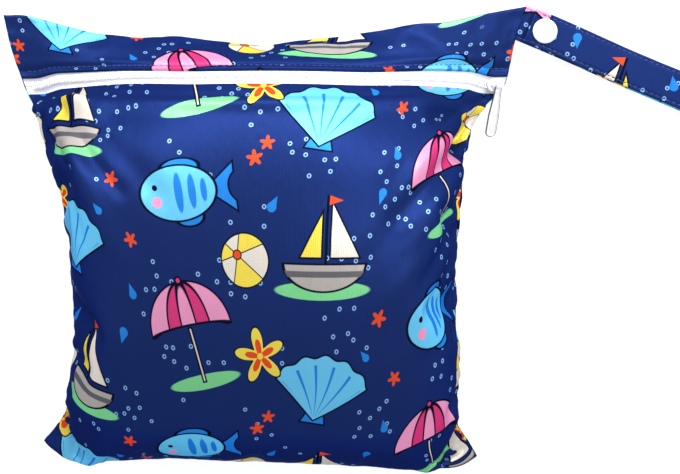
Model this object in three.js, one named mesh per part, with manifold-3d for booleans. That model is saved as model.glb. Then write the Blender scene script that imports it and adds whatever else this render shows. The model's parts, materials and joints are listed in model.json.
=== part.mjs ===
// Zipped wet bag for swimwear, stuffed full and lying on its back, with a snap-closed carrying loop.
// Millimetres, +Z up. The origin is on the surface under the bag's middle, and +Y runs to its top edge.
import * as THREE from "three";
import { mergeVertices } from "three/addons/utils/BufferGeometryUtils.js";
import Module from "manifold-3d";

const wasm = await Module();
wasm.setup();

// Driving dimensions of the cloth
const flatWidth = 300;
const flatHeight = 285;
const clothThickness = 1.0;
const seamGap = 0.3;
const floorRoll = 3;
const columnSteps = 33;
const bellySteps = 15;
const slopeStep = 0.004;
const normalReach = 0.985;
const normalMargin = 0.012;
const foldFadePower = 10;
const foldFadeRate = 25;
const foldThinning = 0.6;

// Driving dimensions of the zip
const zipFromTop = 44;
const zipBandWidth = 10.5;
const tapeThickness = 0.8;
const tapeUnderCloth = 5;
const tapeReach = 0.985;
const chainWidth = 5.0;
const chainHeight = 1.5;
const chainSeat = 0.7;
const chainStart = -0.97;
const chainSteps = 44;

// Driving dimensions of the zip slider and its pull
const sliderReach = 0.957;
const sliderLength = 9.6;
const sliderWidth = 7.2;
const sliderPlate = 1.1;
const sliderCheek = 0.7;
const sliderOverChain = 0.6;
const sliderUnderTape = 0.4;
const sliderOverCloth = 0.9;
const sliderPost = 1.6;
const postAt = 1.5;
const crownHeight = 3.1;
const crownBar = 0.7;
const crownLeg = 1.1;
const crownSpan = 4.7;
const crownSink = 0.4;
const pullLength = 31;
const pullWidth = 6.4;
const pullNeck = 4.2;
const pullNeckEnd = 6;
const pullTaperEnd = 18;
const pullThickness = 1.2;
const knuckleWall = 0.85;
const knucklePlay = 0.45;
const knuckleLength = 3.2;
const tabInKnuckle = 0.65;

// Driving dimensions of the carrying loop and its snap
const strapWidth = 20;
const strapThickness = 1.4;
const strapSteps = 60;
const strapHeading = THREE.MathUtils.degToRad(-22.8);
const strapRoot = new THREE.Vector2(143.5, 132.3);
const snapAt = 12;
const capRadius = 6.8;
const capHeight = 2.0;
const pinRadius = 1.7;
const snapPlay = 0.3;
const socketRadius = 5.0;
const pinInSocket = 0.7;
const snapDrill = 30;
const capSides = 28;
const socketSides = 20;

// The side seams from the bottom corners to the top corners. v is the share of the cloth's flat height.
const sideSeam = [
  { v: 0.0, leftX: -123.0, leftY: -99.1, leftZ: 6.0, rightX: 117.4, rightY: -107.5, rightZ: 6.0 },
  { v: 0.05, leftX: -115.3, leftY: -90.4, leftZ: 13.0, rightX: 111.4, rightY: -97.6, rightZ: 14.0 },
  { v: 0.11, leftX: -108.3, leftY: -81.5, leftZ: 24.5, rightX: 105.5, rightY: -87.7, rightZ: 26.0 },
  { v: 0.17, leftX: -104.6, leftY: -69.6, leftZ: 35.0, rightX: 103.9, rightY: -74.5, rightZ: 36.0 },
  { v: 0.27, leftX: -99.6, leftY: -45.0, leftZ: 44.0, rightX: 104.0, rightY: -47.9, rightZ: 45.0 },
  { v: 0.37, leftX: -98.9, leftY: -18.3, leftZ: 48.0, rightX: 100.7, rightY: -19.9, rightZ: 48.5 },
  { v: 0.475, leftX: -101.5, leftY: 9.7, leftZ: 46.0, rightX: 102.6, rightY: 9.3, rightZ: 46.5 },
  { v: 0.575, leftX: -107.3, leftY: 35.8, leftZ: 40.0, rightX: 105.3, rightY: 37.2, rightZ: 40.0 },
  { v: 0.675, leftX: -115.7, leftY: 59.5, leftZ: 31.0, rightX: 109.0, rightY: 62.5, rightZ: 25.0 },
  { v: 0.77, leftX: -124.4, leftY: 82.0, leftZ: 20.0, rightX: 119.4, rightY: 84.5, rightZ: 10.0 },
  { v: 0.845, leftX: -132.6, leftY: 97.0, leftZ: 12.0, rightX: 132.6, rightY: 98.0, rightZ: 6.5 },
  { v: 0.93, leftX: -141.0, leftY: 118.4, leftZ: 8.0, rightX: 138.7, rightY: 123.0, rightZ: 7.0 },
  { v: 1.0, leftX: -145.7, leftY: 136.5, leftZ: 6.0, rightX: 145.4, rightY: 141.4, rightZ: 7.0 },
];

// The middle of each cross section, on the front and on the back. Below 0 the back is pressed flat.
const midLine = [
  { v: 0.0, frontY: -106.0, frontZ: 36.0, backY: -106.0, backZ: 36.0 },
  { v: 0.05, frontY: -103.4, frontZ: 50.3, backY: -104.0, backZ: 22.0 },
  { v: 0.11, frontY: -96.5, frontZ: 66.0, backY: -96.0, backZ: 9.0 },
  { v: 0.17, frontY: -85.6, frontZ: 80.2, backY: -83.0, backZ: 0.0 },
  { v: 0.27, frontY: -61.0, frontZ: 97.3, backY: -58.0, backZ: -9.0 },
  { v: 0.37, frontY: -33.5, frontZ: 106.8, backY: -32.0, backZ: -15.0 },
  { v: 0.475, frontY: -2.5, frontZ: 110.0, backY: -4.0, backZ: -17.0 },
  { v: 0.575, frontY: 27.0, frontZ: 107.3, backY: 24.0, backZ: -15.0 },
  { v: 0.675, frontY: 55.0, frontZ: 98.2, backY: 51.0, backZ: -9.0 },
  { v: 0.77, frontY: 79.6, frontZ: 84.0, backY: 76.0, backZ: -8.0 },
  { v: 0.845, frontY: 97.2, frontZ: 68.5, backY: 93.0, backZ: -4.0 },
  { v: 0.93, frontY: 110.2, frontZ: 47.0, backY: 109.0, backZ: 12.0 },
  { v: 1.0, frontY: 118.8, frontZ: 30.0, backY: 118.8, backZ: 30.0 },
];

// The form of each cross section. sweep bends it towards its side seams, shoulder squares it up, and dip
// pushes it down beside its ears. The soft columns make its sides lean: under 1 steep, over 1 run out flat.
const sectionForm = [
  { v: 0.0, sweep: 9, shoulder: 3.0, frontSoft: 1.0, backSoft: 1.0, dip: 9 },
  { v: 0.05, sweep: 7, shoulder: 3.1, frontSoft: 0.9, backSoft: 0.9, dip: 8 },
  { v: 0.11, sweep: 5, shoulder: 3.1, frontSoft: 0.72, backSoft: 0.75, dip: 5 },
  { v: 0.17, sweep: 4, shoulder: 3.0, frontSoft: 0.6, backSoft: 0.62, dip: 2 },
  { v: 0.27, sweep: 2.6, shoulder: 2.7, frontSoft: 0.54, backSoft: 0.55, dip: 0 },
  { v: 0.37, sweep: 2.2, shoulder: 2.6, frontSoft: 0.53, backSoft: 0.55, dip: 0 },
  { v: 0.475, sweep: 2, shoulder: 2.6, frontSoft: 0.54, backSoft: 0.55, dip: 0 },
  { v: 0.575, sweep: 2, shoulder: 2.5, frontSoft: 0.57, backSoft: 0.55, dip: 0 },
  { v: 0.675, sweep: 2, shoulder: 2.4, frontSoft: 0.68, backSoft: 0.6, dip: 0 },
  { v: 0.77, sweep: 2, shoulder: 2.2, frontSoft: 1.05, backSoft: 0.55, dip: 0 },
  { v: 0.845, sweep: 2, shoulder: 2.1, frontSoft: 1.45, backSoft: 0.5, dip: 0 },
  { v: 0.93, sweep: 2, shoulder: 2.0, frontSoft: 1.3, backSoft: 0.9, dip: 0 },
  { v: 1.0, sweep: 2, shoulder: 2.0, frontSoft: 1.2, backSoft: 1.2, dip: 0 },
];

// Soft folds of the front cloth, each a valley from one point of it to another. A negative depth is a ridge.
const frontFolds = [
  { fromU: -0.96, fromV: 0.82, toU: -0.45, toV: 0.6, width: 9, depth: 4.0 },
  { fromU: -0.93, fromV: 0.74, toU: -0.66, toV: 0.48, width: 8, depth: -2.5 },
  { fromU: 0.97, fromV: 0.8, toU: 0.62, toV: 0.6, width: 9, depth: 4.5 },
  { fromU: 0.95, fromV: 0.68, toU: 0.55, toV: 0.48, width: 9, depth: 3.5 },
  { fromU: 0.92, fromV: 0.5, toU: 0.6, toV: 0.4, width: 8, depth: -2.5 },
  { fromU: -0.95, fromV: 0.36, toU: -0.72, toV: 0.3, width: 7, depth: 3.0 },
  { fromU: 0.95, fromV: 0.33, toU: 0.72, toV: 0.27, width: 7, depth: 3.0 },
  { fromU: -0.97, fromV: 0.1, toU: -0.8, toV: 0.02, width: 7, depth: 5.0 },
  { fromU: 0.97, fromV: 0.1, toU: 0.8, toV: 0.02, width: 7, depth: 5.0 },
  { fromU: 0.9, fromV: 0.86, toU: 0.6, toV: 0.98, width: 9, depth: 3.0 },
  { fromU: -0.25, fromV: 0.99, toU: -0.12, toV: 0.88, width: 9, depth: 3.0 },
];

// The carrying loop from the side: from its seam along the surface and back over itself to its free end.
const strapLine = [
  { along: 0, height: 7.4 },
  { along: 5, height: 7.2 },
  { along: 20, height: 7.2 },
  { along: 40, height: 4.6 },
  { along: 62, height: 1.2 },
  { along: 80, height: 0.9 },
  { along: 110, height: 0.9 },
  { along: 138, height: 1.0 },
  { along: 147, height: 2.6 },
  { along: 150, height: 6.6 },
  { along: 146, height: 10.4 },
  { along: 136, height: 11.4 },
  { along: 112, height: 9.2 },
  { along: 84, height: 6.2 },
  { along: 62, height: 6.0 },
  { along: 42, height: 8.6 },
  { along: 20, height: 11.6 },
  { along: 5, height: 11.6 },
  { along: 3, height: 11.6 },
];

// Materials
function finish(color, roughness, metalness = 0) {
  return new THREE.MeshStandardMaterial({ color, roughness, metalness });
}

const printedCloth = finish(0x1f2c66, 0.6);
const whiteTape = finish(0xf2f3f5, 0.75);
const whiteNylon = finish(0xf7f8fa, 0.45);
const whiteEnamel = finish(0xf4f5f6, 0.3, 0.2);
const whitePlastic = finish(0xfbfbfb, 0.35);

// Smooth values of every column of a table at v
function tableRow(table, v) {
  const last = table.length - 1;
  let i = table.findIndex((row) => row.v > v) - 1;
  if (i < 0) i = last - 1;
  const [a, b] = [table[i], table[i + 1]];
  const before = table[Math.max(i - 1, 0)];
  const after = table[Math.min(i + 2, last)];
  const span = b.v - a.v;
  const t = (v - a.v) / span;
  const row = {};
  for (const column of Object.keys(a)) {
    const slopeA = ((b[column] - before[column]) / (b.v - before.v)) * span;
    const slopeB = ((after[column] - a[column]) / (after.v - a.v)) * span;
    const rise = b[column] - a[column];
    const bend = 3 * rise - 2 * slopeA - slopeB;
    const twist = slopeA + slopeB - 2 * rise;
    row[column] = a[column] + t * (slopeA + t * (bend + t * twist));
  }
  return row;
}

// Depth of the folds at a point of the cloth, fading out at the seams
function foldDepth(folds, u, v) {
  const fade = (1 - Math.abs(u) ** foldFadePower) * Math.min(1, v * foldFadeRate, (1 - v) * foldFadeRate);
  let depth = 0;
  for (const fold of folds) {
    const from = new THREE.Vector2(fold.fromU * flatWidth * 0.5, fold.fromV * flatHeight);
    const to = new THREE.Vector2(fold.toU * flatWidth * 0.5, fold.toV * flatHeight);
    const here = new THREE.Vector2(u * flatWidth * 0.5, v * flatHeight).sub(from);
    const run = to.sub(from);
    const share = THREE.MathUtils.clamp(here.dot(run) / run.lengthSq(), 0, 1);
    const off = here.distanceTo(run.clone().multiplyScalar(share)) / fold.width;
    depth += fold.depth * Math.exp(-off * off) * (1 - foldThinning * share);
  }
  return depth * fade;
}

// Height that never goes below the surface the bag lies on, with a rolled edge
function aboveFloor(z) {
  if (z >= floorRoll) return z;
  if (z <= -floorRoll) return 0;
  return (z + floorRoll) ** 2 / (4 * floorRoll);
}

// A point of the cloth's inside face. u runs from the left seam at -1 to the right seam at 1.
function clothPoint(face, u, v) {
  const seam = tableRow(sideSeam, v);
  const mid = tableRow(midLine, v);
  const form = tableRow(sectionForm, v);
  const side = u < 0 ? "left" : "right";
  const reach = Math.abs(u);
  const front = face === "front";
  const midY = front ? mid.frontY : mid.backY;
  const midZ = front ? mid.frontZ : mid.backZ;
  const soft = front ? form.frontSoft : form.backSoft;
  const fullness = (1 - reach ** form.shoulder) ** soft;
  const x = reach * seam[side + "X"];
  const turn = reach ** form.sweep;
  const y = midY + (seam[side + "Y"] - midY) * turn - form.dip * (reach ** 2 - turn);
  const z = seam[side + "Z"] + (midZ - seam[side + "Z"]) * fullness;
  if (front) return new THREE.Vector3(x, y, z - foldDepth(frontFolds, u, v) + seamGap / 2);
  return new THREE.Vector3(x, y, aboveFloor(z - clothThickness - seamGap) + clothThickness);
}

// Direction out of the bag at a point of the cloth, taken just inside its edges
function clothNormal(face, u, v) {
  const step = slopeStep;
  const atU = THREE.MathUtils.clamp(u, -normalReach, normalReach);
  const atV = THREE.MathUtils.clamp(v, normalMargin, 1 - normalMargin);
  const across = clothPoint(face, atU + step, atV).sub(clothPoint(face, atU - step, atV));
  const up = clothPoint(face, atU, atV + step).sub(clothPoint(face, atU, atV - step));
  const out = across.cross(up).normalize();
  return face === "front" ? out : out.negate();
}

function evenly(low, high, steps) {
  return Array.from({ length: steps + 1 }, (_, i) => low + ((high - low) * i) / steps);
}

function solidGeometry(positions, triangles) {
  const geometry = new THREE.BufferGeometry();
  geometry.setAttribute("position", new THREE.Float32BufferAttribute(positions, 3));
  geometry.setIndex(triangles);
  geometry.computeVertexNormals();
  return geometry;
}

// A wall that follows the cloth. lift is how far its inner face lies outside the cloth's own inside face.
function clothWall(face, us, vs, thickness, lift = 0) {
  const positions = [];
  for (const height of [lift, lift + thickness]) {
    for (const v of vs) {
      for (const u of us) {
        const point = clothPoint(face, u, v).addScaledVector(clothNormal(face, u, v), height);
        positions.push(point.x, point.y, point.z);
      }
    }
  }
  const columns = us.length;
  const layer = columns * vs.length;
  const triangles = [];
  const quad = (a, b, c, d) => {
    if (face === "front") triangles.push(a, b, c, a, c, d);
    else triangles.push(a, c, b, a, d, c);
  };
  for (let row = 0; row + 1 < vs.length; row++) {
    for (let column = 0; column + 1 < columns; column++) {
      const corner = row * columns + column;
      const above = corner + columns;
      quad(layer + corner, layer + corner + 1, layer + above + 1, layer + above);
      quad(corner, above, above + 1, corner + 1);
    }
  }
  const rim = [];
  for (let column = 0; column < columns; column++) rim.push(column);
  for (let row = 1; row < vs.length; row++) rim.push(row * columns + columns - 1);
  for (let column = columns - 2; column >= 0; column--) rim.push((vs.length - 1) * columns + column);
  for (let row = vs.length - 2; row > 0; row--) rim.push(row * columns);
  rim.forEach((a, i) => {
    const b = rim[(i + 1) % rim.length];
    quad(a, b, layer + b, layer + a);
  });
  return solidGeometry(positions, triangles);
}

// Closed tube through a list of equal rings of points
function ringLoft(rings) {
  const sides = rings[0].length;
  const positions = rings.flat().flatMap((point) => [point.x, point.y, point.z]);
  const triangles = [];
  for (let r = 0; r + 1 < rings.length; r++) {
    for (let i = 0; i < sides; i++) {
      const a = r * sides + i;
      const b = r * sides + ((i + 1) % sides);
      triangles.push(a, b, b + sides, a, b + sides, a + sides);
    }
  }
  const end = (rings.length - 1) * sides;
  for (let i = 1; i + 1 < sides; i++) {
    triangles.push(0, i + 1, i, end, end + i, end + i + 1);
  }
  return solidGeometry(positions, triangles);
}

// Joins and cuts of closed geometries
function toManifold(geometry) {
  const bare = geometry.clone();
  bare.deleteAttribute("normal");
  bare.deleteAttribute("uv");
  const merged = mergeVertices(bare, 1e-4);
  const triVerts = new Uint32Array(merged.index.array);
  const vertProperties = merged.attributes.position.array;
  return new wasm.Manifold(new wasm.Mesh({ numProp: 3, vertProperties, triVerts }));
}

function fromManifold(solid) {
  const made = solid.getMesh();
  return solidGeometry(Array.from(made.vertProperties), Array.from(made.triVerts));
}

const fuse = (...pieces) => fromManifold(pieces.map(toManifold).reduce((all, piece) => all.add(piece)));
const cutAway = (body, ...tools) =>
  fromManifold(tools.map(toManifold).reduce((rest, tool) => rest.subtract(tool), toManifold(body)));

function box(lowX, highX, lowY, highY, lowZ, highZ) {
  const geometry = new THREE.BoxGeometry(highX - lowX, highY - lowY, highZ - lowZ);
  return geometry.translate((lowX + highX) / 2, (lowY + highY) / 2, (lowZ + highZ) / 2);
}

// A shape extruded evenly to both sides of its own plane
function plainExtrude(shape, depth) {
  const geometry = new THREE.ExtrudeGeometry(shape, { depth, bevelEnabled: false, curveSegments: 8 });
  return geometry.translate(0, 0, -depth / 2);
}

function placed(name, geometry, material, matrix = new THREE.Matrix4()) {
  const mesh = new THREE.Mesh(geometry, material);
  mesh.name = name;
  mesh.applyMatrix4(matrix);
  return mesh;
}

// Rows and columns of the cloth. The columns crowd towards the side seams, where the cloth turns over.
const zipMiddle = 1 - zipFromTop / flatHeight;
const halfBand = zipBandWidth / 2 / flatHeight;
const underCloth = tapeUnderCloth / flatHeight;
const columns = evenly(-1, 1, columnSteps).map((t) => Math.sin((t * Math.PI) / 2));
const lowerFold = zipMiddle - halfBand;
const upperFold = zipMiddle + halfBand;
const bellyRows = evenly(0.12, 0.78, bellySteps);
const lowerRows = [0, 0.012, 0.03, 0.055, 0.085, ...bellyRows, lowerFold - underCloth, lowerFold];
const upperRows = [upperFold, upperFold + underCloth, 0.915, 0.955, 0.985, 1];
const backRows = [...lowerRows, zipMiddle, ...upperRows];

// Cloth panels
const frontPanel = clothWall("front", columns, lowerRows, clothThickness);
const topPanel = clothWall("front", columns, upperRows, clothThickness);
const backPanel = clothWall("back", columns, backRows, clothThickness);

// Zip tapes under the folded edges of the two front panels, and the closed chain along their middle
const tapeColumns = [-tapeReach, ...columns.filter((u) => Math.abs(u) < tapeReach - 0.01), tapeReach];
const tapeLift = -seamGap - tapeThickness;
const tapeSplit = seamGap / 2 / flatHeight;
const lowerTapeRows = [lowerFold - underCloth, lowerFold, zipMiddle - tapeSplit];
const upperTapeRows = [zipMiddle + tapeSplit, upperFold, upperFold + underCloth];
const lowerTape = clothWall("front", tapeColumns, lowerTapeRows, tapeThickness, tapeLift);
const upperTape = clothWall("front", tapeColumns, upperTapeRows, tapeThickness, tapeLift);

function zipFrame(u) {
  const ahead = clothPoint("front", u + slopeStep, zipMiddle);
  const along = ahead.sub(clothPoint("front", u - slopeStep, zipMiddle)).normalize();
  const out = clothNormal("front", u, zipMiddle);
  const up = out.clone().cross(along).normalize();
  const at = clothPoint("front", u, zipMiddle).addScaledVector(out, -seamGap);
  return new THREE.Matrix4().makeBasis(along, up, out.crossVectors(along, up)).setPosition(at);
}

const chainSection = [
  [-chainWidth / 2, 0],
  [chainWidth / 2, 0],
  [chainWidth / 2, chainHeight * 0.45],
  [chainWidth * 0.32, chainHeight],
  [-chainWidth * 0.32, chainHeight],
  [-chainWidth / 2, chainHeight * 0.45],
];
const halfPost = sliderPost / 2;
const chainEnd = sliderReach + (postAt - halfPost - seamGap) / sideSeam[10].rightX;
const chainRings = evenly(chainStart, chainEnd, chainSteps).map((u) =>
  chainSection.map(([up, out]) => new THREE.Vector3(0, up, out + chainSeat).applyMatrix4(zipFrame(u))),
);
const chain = ringLoft(chainRings);

// Slider: two plates round the chain, joined by a post, with a crown bar on top that the pull turns on
const sliderMatrix = zipFrame(sliderReach);
const topPlateLow = chainSeat + chainHeight + sliderOverChain;
const topPlateHigh = topPlateLow + sliderPlate;
const barHeight = topPlateHigh + crownHeight;
const halfLength = sliderLength / 2;
const halfWidth = sliderWidth / 2;
const bottomPlateHigh = -tapeThickness - sliderUnderTape;
const bottomPlateLow = bottomPlateHigh - sliderPlate;
const cheekLow = clothThickness + sliderOverCloth;
const halfSpan = crownSpan / 2;
const crownTube = new THREE.CylinderGeometry(crownBar, crownBar, crownSpan + crownLeg, 12);
crownTube.rotateZ(Math.PI / 2).translate(0, 0, barHeight);
const slider = fuse(
  box(-halfLength, halfLength, -halfWidth, halfWidth, topPlateLow, topPlateHigh),
  box(-halfLength, halfLength, -halfWidth, sliderCheek - halfWidth, cheekLow, topPlateHigh),
  box(-halfLength, halfLength, halfWidth - sliderCheek, halfWidth, cheekLow, topPlateHigh),
  box(postAt - halfPost, postAt + halfPost, -halfPost, halfPost, bottomPlateLow, topPlateHigh),
  box(-halfLength, postAt + halfPost, -halfWidth, halfWidth, bottomPlateLow, bottomPlateHigh),
  box(-halfSpan - crownLeg, -halfSpan, -crownBar, crownBar, topPlateHigh - crownSink, barHeight + crownBar),
  box(halfSpan, halfSpan + crownLeg, -crownBar, crownBar, topPlateHigh - crownSink, barHeight + crownBar),
  crownTube,
);
const postSlot = box(
  postAt - halfPost - seamGap,
  halfLength + sliderLength,
  -halfPost - seamGap,
  halfPost + seamGap,
  bottomPlateLow,
  topPlateHigh,
).applyMatrix4(sliderMatrix);

// Pull: a long rounded tab with a knuckle round the crown bar, drooping until its tip lies on the surface
const knuckleInside = crownBar + knucklePlay;
const knuckleOutside = knuckleInside + knuckleWall;
const knuckleShape = new THREE.Shape().absarc(0, 0, knuckleOutside, 0, Math.PI * 2);
knuckleShape.holes.push(new THREE.Path().absarc(0, 0, knuckleInside, 0, Math.PI * 2, true));
const knuckle = plainExtrude(knuckleShape, knuckleLength).rotateY(Math.PI / 2);
const tipRadius = pullWidth / 2;
const tabShape = new THREE.Shape()
  .moveTo(-pullNeck / 2, tabInKnuckle - knuckleOutside)
  .lineTo(-pullNeck / 2, -pullNeckEnd)
  .lineTo(-tipRadius, -pullTaperEnd)
  .lineTo(-tipRadius, tipRadius - pullLength)
  .absarc(0, tipRadius - pullLength, tipRadius, Math.PI, Math.PI * 2)
  .lineTo(tipRadius, -pullTaperEnd)
  .lineTo(pullNeck / 2, -pullNeckEnd)
  .lineTo(pullNeck / 2, tabInKnuckle - knuckleOutside);
const pullShape = fuse(knuckle, plainExtrude(tabShape, pullThickness));
const barCentre = new THREE.Vector3(0, 0, barHeight).applyMatrix4(sliderMatrix);
const barAlong = new THREE.Vector3().setFromMatrixColumn(sliderMatrix, 0);
const level = new THREE.Vector3(0, 0, 1).cross(barAlong).normalize();
const overhead = barAlong.clone().cross(level);
const droop = Math.asin((barCentre.z - pullThickness / 2 - seamGap) / pullLength / overhead.z);
const pullMatrix = new THREE.Matrix4()
  .makeBasis(barAlong, level, overhead)
  .setPosition(barCentre)
  .multiply(new THREE.Matrix4().makeRotationX(droop));

// Carrying loop: one strip that runs out, turns back over itself and snaps down on its own root
const strapCurve = new THREE.CatmullRomCurve3(
  strapLine.map(({ along, height }) => new THREE.Vector3(along, height, 0)),
  false,
  "centripetal",
);
const strapSides = [1, -1].map((side) =>
  evenly(0, 1, strapSteps).map((t) => {
    const at = strapCurve.getPoint(t);
    const tangent = strapCurve.getTangent(t);
    const off = (side * strapThickness) / 2;
    return new THREE.Vector2(at.x - tangent.y * off, at.y + tangent.x * off);
  }),
);
const strapOutline = new THREE.Shape([...strapSides[1], ...strapSides[0].reverse()]);
const strapMatrix = new THREE.Matrix4()
  .makeBasis(
    new THREE.Vector3(Math.cos(strapHeading), Math.sin(strapHeading), 0),
    new THREE.Vector3(0, 0, 1),
    new THREE.Vector3(Math.sin(strapHeading), -Math.cos(strapHeading), 0),
  )
  .setPosition(strapRoot.x, strapRoot.y, 0);
const socketBore = pinRadius + snapPlay;
const snapHole = new THREE.CylinderGeometry(socketBore, socketBore, snapDrill, socketSides);
const strap = cutAway(plainExtrude(strapOutline, strapWidth), snapHole.translate(snapAt, 0, 0));

// Snap: a cap over the free end, a cap under the root, and the pressed socket between the two layers
const lowerLayer = strapLine[2].height;
const upperLayer = strapLine[16].height;
const pinLength = strapThickness + 2 * snapPlay + pinInSocket;
const capProfile = [
  [0, -pinLength],
  [pinRadius, -pinLength],
  [pinRadius, 0],
  [capRadius, 0],
  [capRadius, capHeight * 0.25],
  [capRadius * 0.94, capHeight * 0.6],
  [capRadius * 0.76, capHeight * 0.88],
  [capRadius * 0.45, capHeight],
  [0, capHeight],
].map(([r, h]) => new THREE.Vector2(r, h));
const socketLow = lowerLayer + strapThickness / 2 + snapPlay;
const socketHigh = upperLayer - strapThickness / 2 - snapPlay;
const socketProfile = [
  [socketBore, socketLow],
  [socketRadius, socketLow],
  [socketRadius, socketHigh],
  [socketBore, socketHigh],
  [socketBore, socketLow],
].map(([r, h]) => new THREE.Vector2(r, h));
const capGeometry = new THREE.LatheGeometry(capProfile, capSides);
const topCap = capGeometry.clone().translate(snapAt, upperLayer + strapThickness / 2 + snapPlay, 0);
const underCap = capGeometry
  .clone()
  .rotateX(Math.PI)
  .translate(snapAt, lowerLayer - strapThickness / 2 - snapPlay, 0);
const socket = new THREE.LatheGeometry(socketProfile, socketSides).translate(snapAt, 0, 0);

const bag = new THREE.Group();
bag.add(
  placed("front_panel", frontPanel, printedCloth),
  placed("top_panel", topPanel, printedCloth),
  placed("back_panel", backPanel, printedCloth),
  placed("zip_tape_lower", cutAway(lowerTape, postSlot), whiteTape),
  placed("zip_tape_upper", cutAway(upperTape, postSlot), whiteTape),
  placed("zip_chain", chain, whiteNylon),
  placed("zip_slider", slider, whiteEnamel, sliderMatrix),
  placed("zip_pull", pullShape, whiteEnamel, pullMatrix),
  placed("strap", strap, printedCloth, strapMatrix),
  placed("snap_cap", topCap, whitePlastic, strapMatrix),
  placed("snap_socket", socket, whitePlastic, strapMatrix),
  placed("snap_under_cap", underCap, whitePlastic, strapMatrix),
);

export default bag;
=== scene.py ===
# A stuffed, zipped wet bag lying on its back: printed knit, white coil zip and a snap-closed strap
import json
import math

import bmesh
import bpy
import numpy as np
from mathutils import Matrix, Vector


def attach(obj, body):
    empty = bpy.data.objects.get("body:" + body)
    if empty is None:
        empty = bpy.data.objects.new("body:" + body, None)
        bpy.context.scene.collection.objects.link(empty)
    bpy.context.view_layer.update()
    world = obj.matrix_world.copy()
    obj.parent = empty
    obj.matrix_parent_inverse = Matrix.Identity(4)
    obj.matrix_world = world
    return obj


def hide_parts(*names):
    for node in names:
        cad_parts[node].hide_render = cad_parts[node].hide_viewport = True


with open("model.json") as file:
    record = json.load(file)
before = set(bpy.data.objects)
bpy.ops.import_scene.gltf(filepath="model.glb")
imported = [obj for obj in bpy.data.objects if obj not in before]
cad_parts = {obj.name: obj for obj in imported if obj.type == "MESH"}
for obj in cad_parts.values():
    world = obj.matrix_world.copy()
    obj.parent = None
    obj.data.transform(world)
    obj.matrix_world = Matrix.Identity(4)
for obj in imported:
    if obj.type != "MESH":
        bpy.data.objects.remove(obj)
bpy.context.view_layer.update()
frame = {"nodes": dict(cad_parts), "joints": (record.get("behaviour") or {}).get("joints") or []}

mm = 0.001  # sizes below are in millimetres, Blender's are in metres
print("frame loaded,", len(frame["nodes"]), "nodes")

# the cloth as cut, and the zip's place on it
cut = {"width": 300, "height": 285, "thickness": 1.0, "seamGap": 0.3, "floorRoll": 3,
       "zipFromTop": 44, "zipBand": 10.5}
zipAt = 1 - cut["zipFromTop"] / cut["height"]
lowerFold = zipAt - cut["zipBand"] / 2 / cut["height"]
upperFold = zipAt + cut["zipBand"] / 2 / cut["height"]

# side seams from the bottom corners to the top corners, v is the share of the cut's height
rowShares = [0, 0.05, 0.11, 0.17, 0.27, 0.37, 0.475, 0.575, 0.675, 0.77, 0.845, 0.93, 1]
sideSeam = {
    "leftX": [-123, -115.3, -108.3, -104.6, -99.6, -98.9, -101.5, -107.3, -115.7, -124.4, -132.6, -141,
              -145.7],
    "leftY": [-99.1, -90.4, -81.5, -69.6, -45, -18.3, 9.7, 35.8, 59.5, 82, 97, 118.4, 136.5],
    "leftZ": [6, 13, 24.5, 35, 44, 48, 46, 40, 31, 20, 12, 8, 6],
    "rightX": [117.4, 111.4, 105.5, 103.9, 104, 100.7, 102.6, 105.3, 109, 119.4, 132.6, 138.7, 145.4],
    "rightY": [-107.5, -97.6, -87.7, -74.5, -47.9, -19.9, 9.3, 37.2, 62.5, 84.5, 98, 123, 141.4],
    "rightZ": [6, 14, 26, 36, 45, 48.5, 46.5, 40, 25, 10, 6.5, 7, 7],
}

# middle of each cross section and how it runs out to its seams
crossSection = {
    "frontY": [-106, -103.4, -96.5, -85.6, -61, -33.5, -2.5, 27, 55, 79.6, 97.2, 110.2, 118.8],
    "frontZ": [36, 50.3, 66, 80.2, 97.3, 106.8, 110, 107.3, 98.2, 84, 68.5, 47, 30],
    "backY": [-106, -104, -96, -83, -58, -32, -4, 24, 51, 76, 93, 109, 118.8],
    "backZ": [36, 22, 9, 0, -9, -15, -17, -15, -9, -8, -4, 12, 30],
    "sweep": [9, 7, 5, 4, 2.6, 2.2, 2, 2, 2, 2, 2, 2, 2],
    "shoulder": [3, 3.1, 3.1, 3, 2.7, 2.6, 2.6, 2.5, 2.4, 2.2, 2.1, 2, 2],
    "frontSoft": [1, 0.9, 0.72, 0.6, 0.54, 0.53, 0.54, 0.57, 0.68, 1.05, 1.45, 1.3, 1.2],
    "backSoft": [1, 0.9, 0.75, 0.62, 0.55, 0.55, 0.55, 0.55, 0.6, 0.55, 0.5, 0.9, 1.2],
    "dip": [9, 8, 5, 2, 0, 0, 0, 0, 0, 0, 0, 0, 0],
}

# soft folds of the front: from u, v to u, v, then width and depth; a negative depth is a ridge
frontFolds = [
    (-0.96, 0.82, -0.45, 0.60, 9, 4.0),
    (-0.93, 0.74, -0.66, 0.48, 8, -2.5),
    (0.97, 0.80, 0.62, 0.60, 9, 4.5),
    (0.95, 0.68, 0.55, 0.48, 9, 3.5),
    (0.92, 0.50, 0.60, 0.40, 8, -2.5),
    (-0.95, 0.36, -0.72, 0.30, 7, 3.0),
    (0.95, 0.33, 0.72, 0.27, 7, 3.0),
    (-0.97, 0.10, -0.80, 0.02, 7, 5.0),
    (0.97, 0.10, 0.80, 0.02, 7, 5.0),
    (0.90, 0.86, 0.60, 0.98, 9, 3.0),
    (-0.25, 0.99, -0.12, 0.88, 9, 3.0),
]
foldFade = {"taper": 0.6, "sides": 10, "ends": 25}  # depth lost along a fold, and how fast folds end at seams


def unit(vectors):
    return vectors / np.linalg.norm(vectors, axis=-1, keepdims=True)


def rampUp(distance, length):
    return np.clip(distance / length, 0, 1)


def smoothStep(t):
    t = np.clip(t, 0, 1)
    return t * t * (3 - 2 * t)


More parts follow.
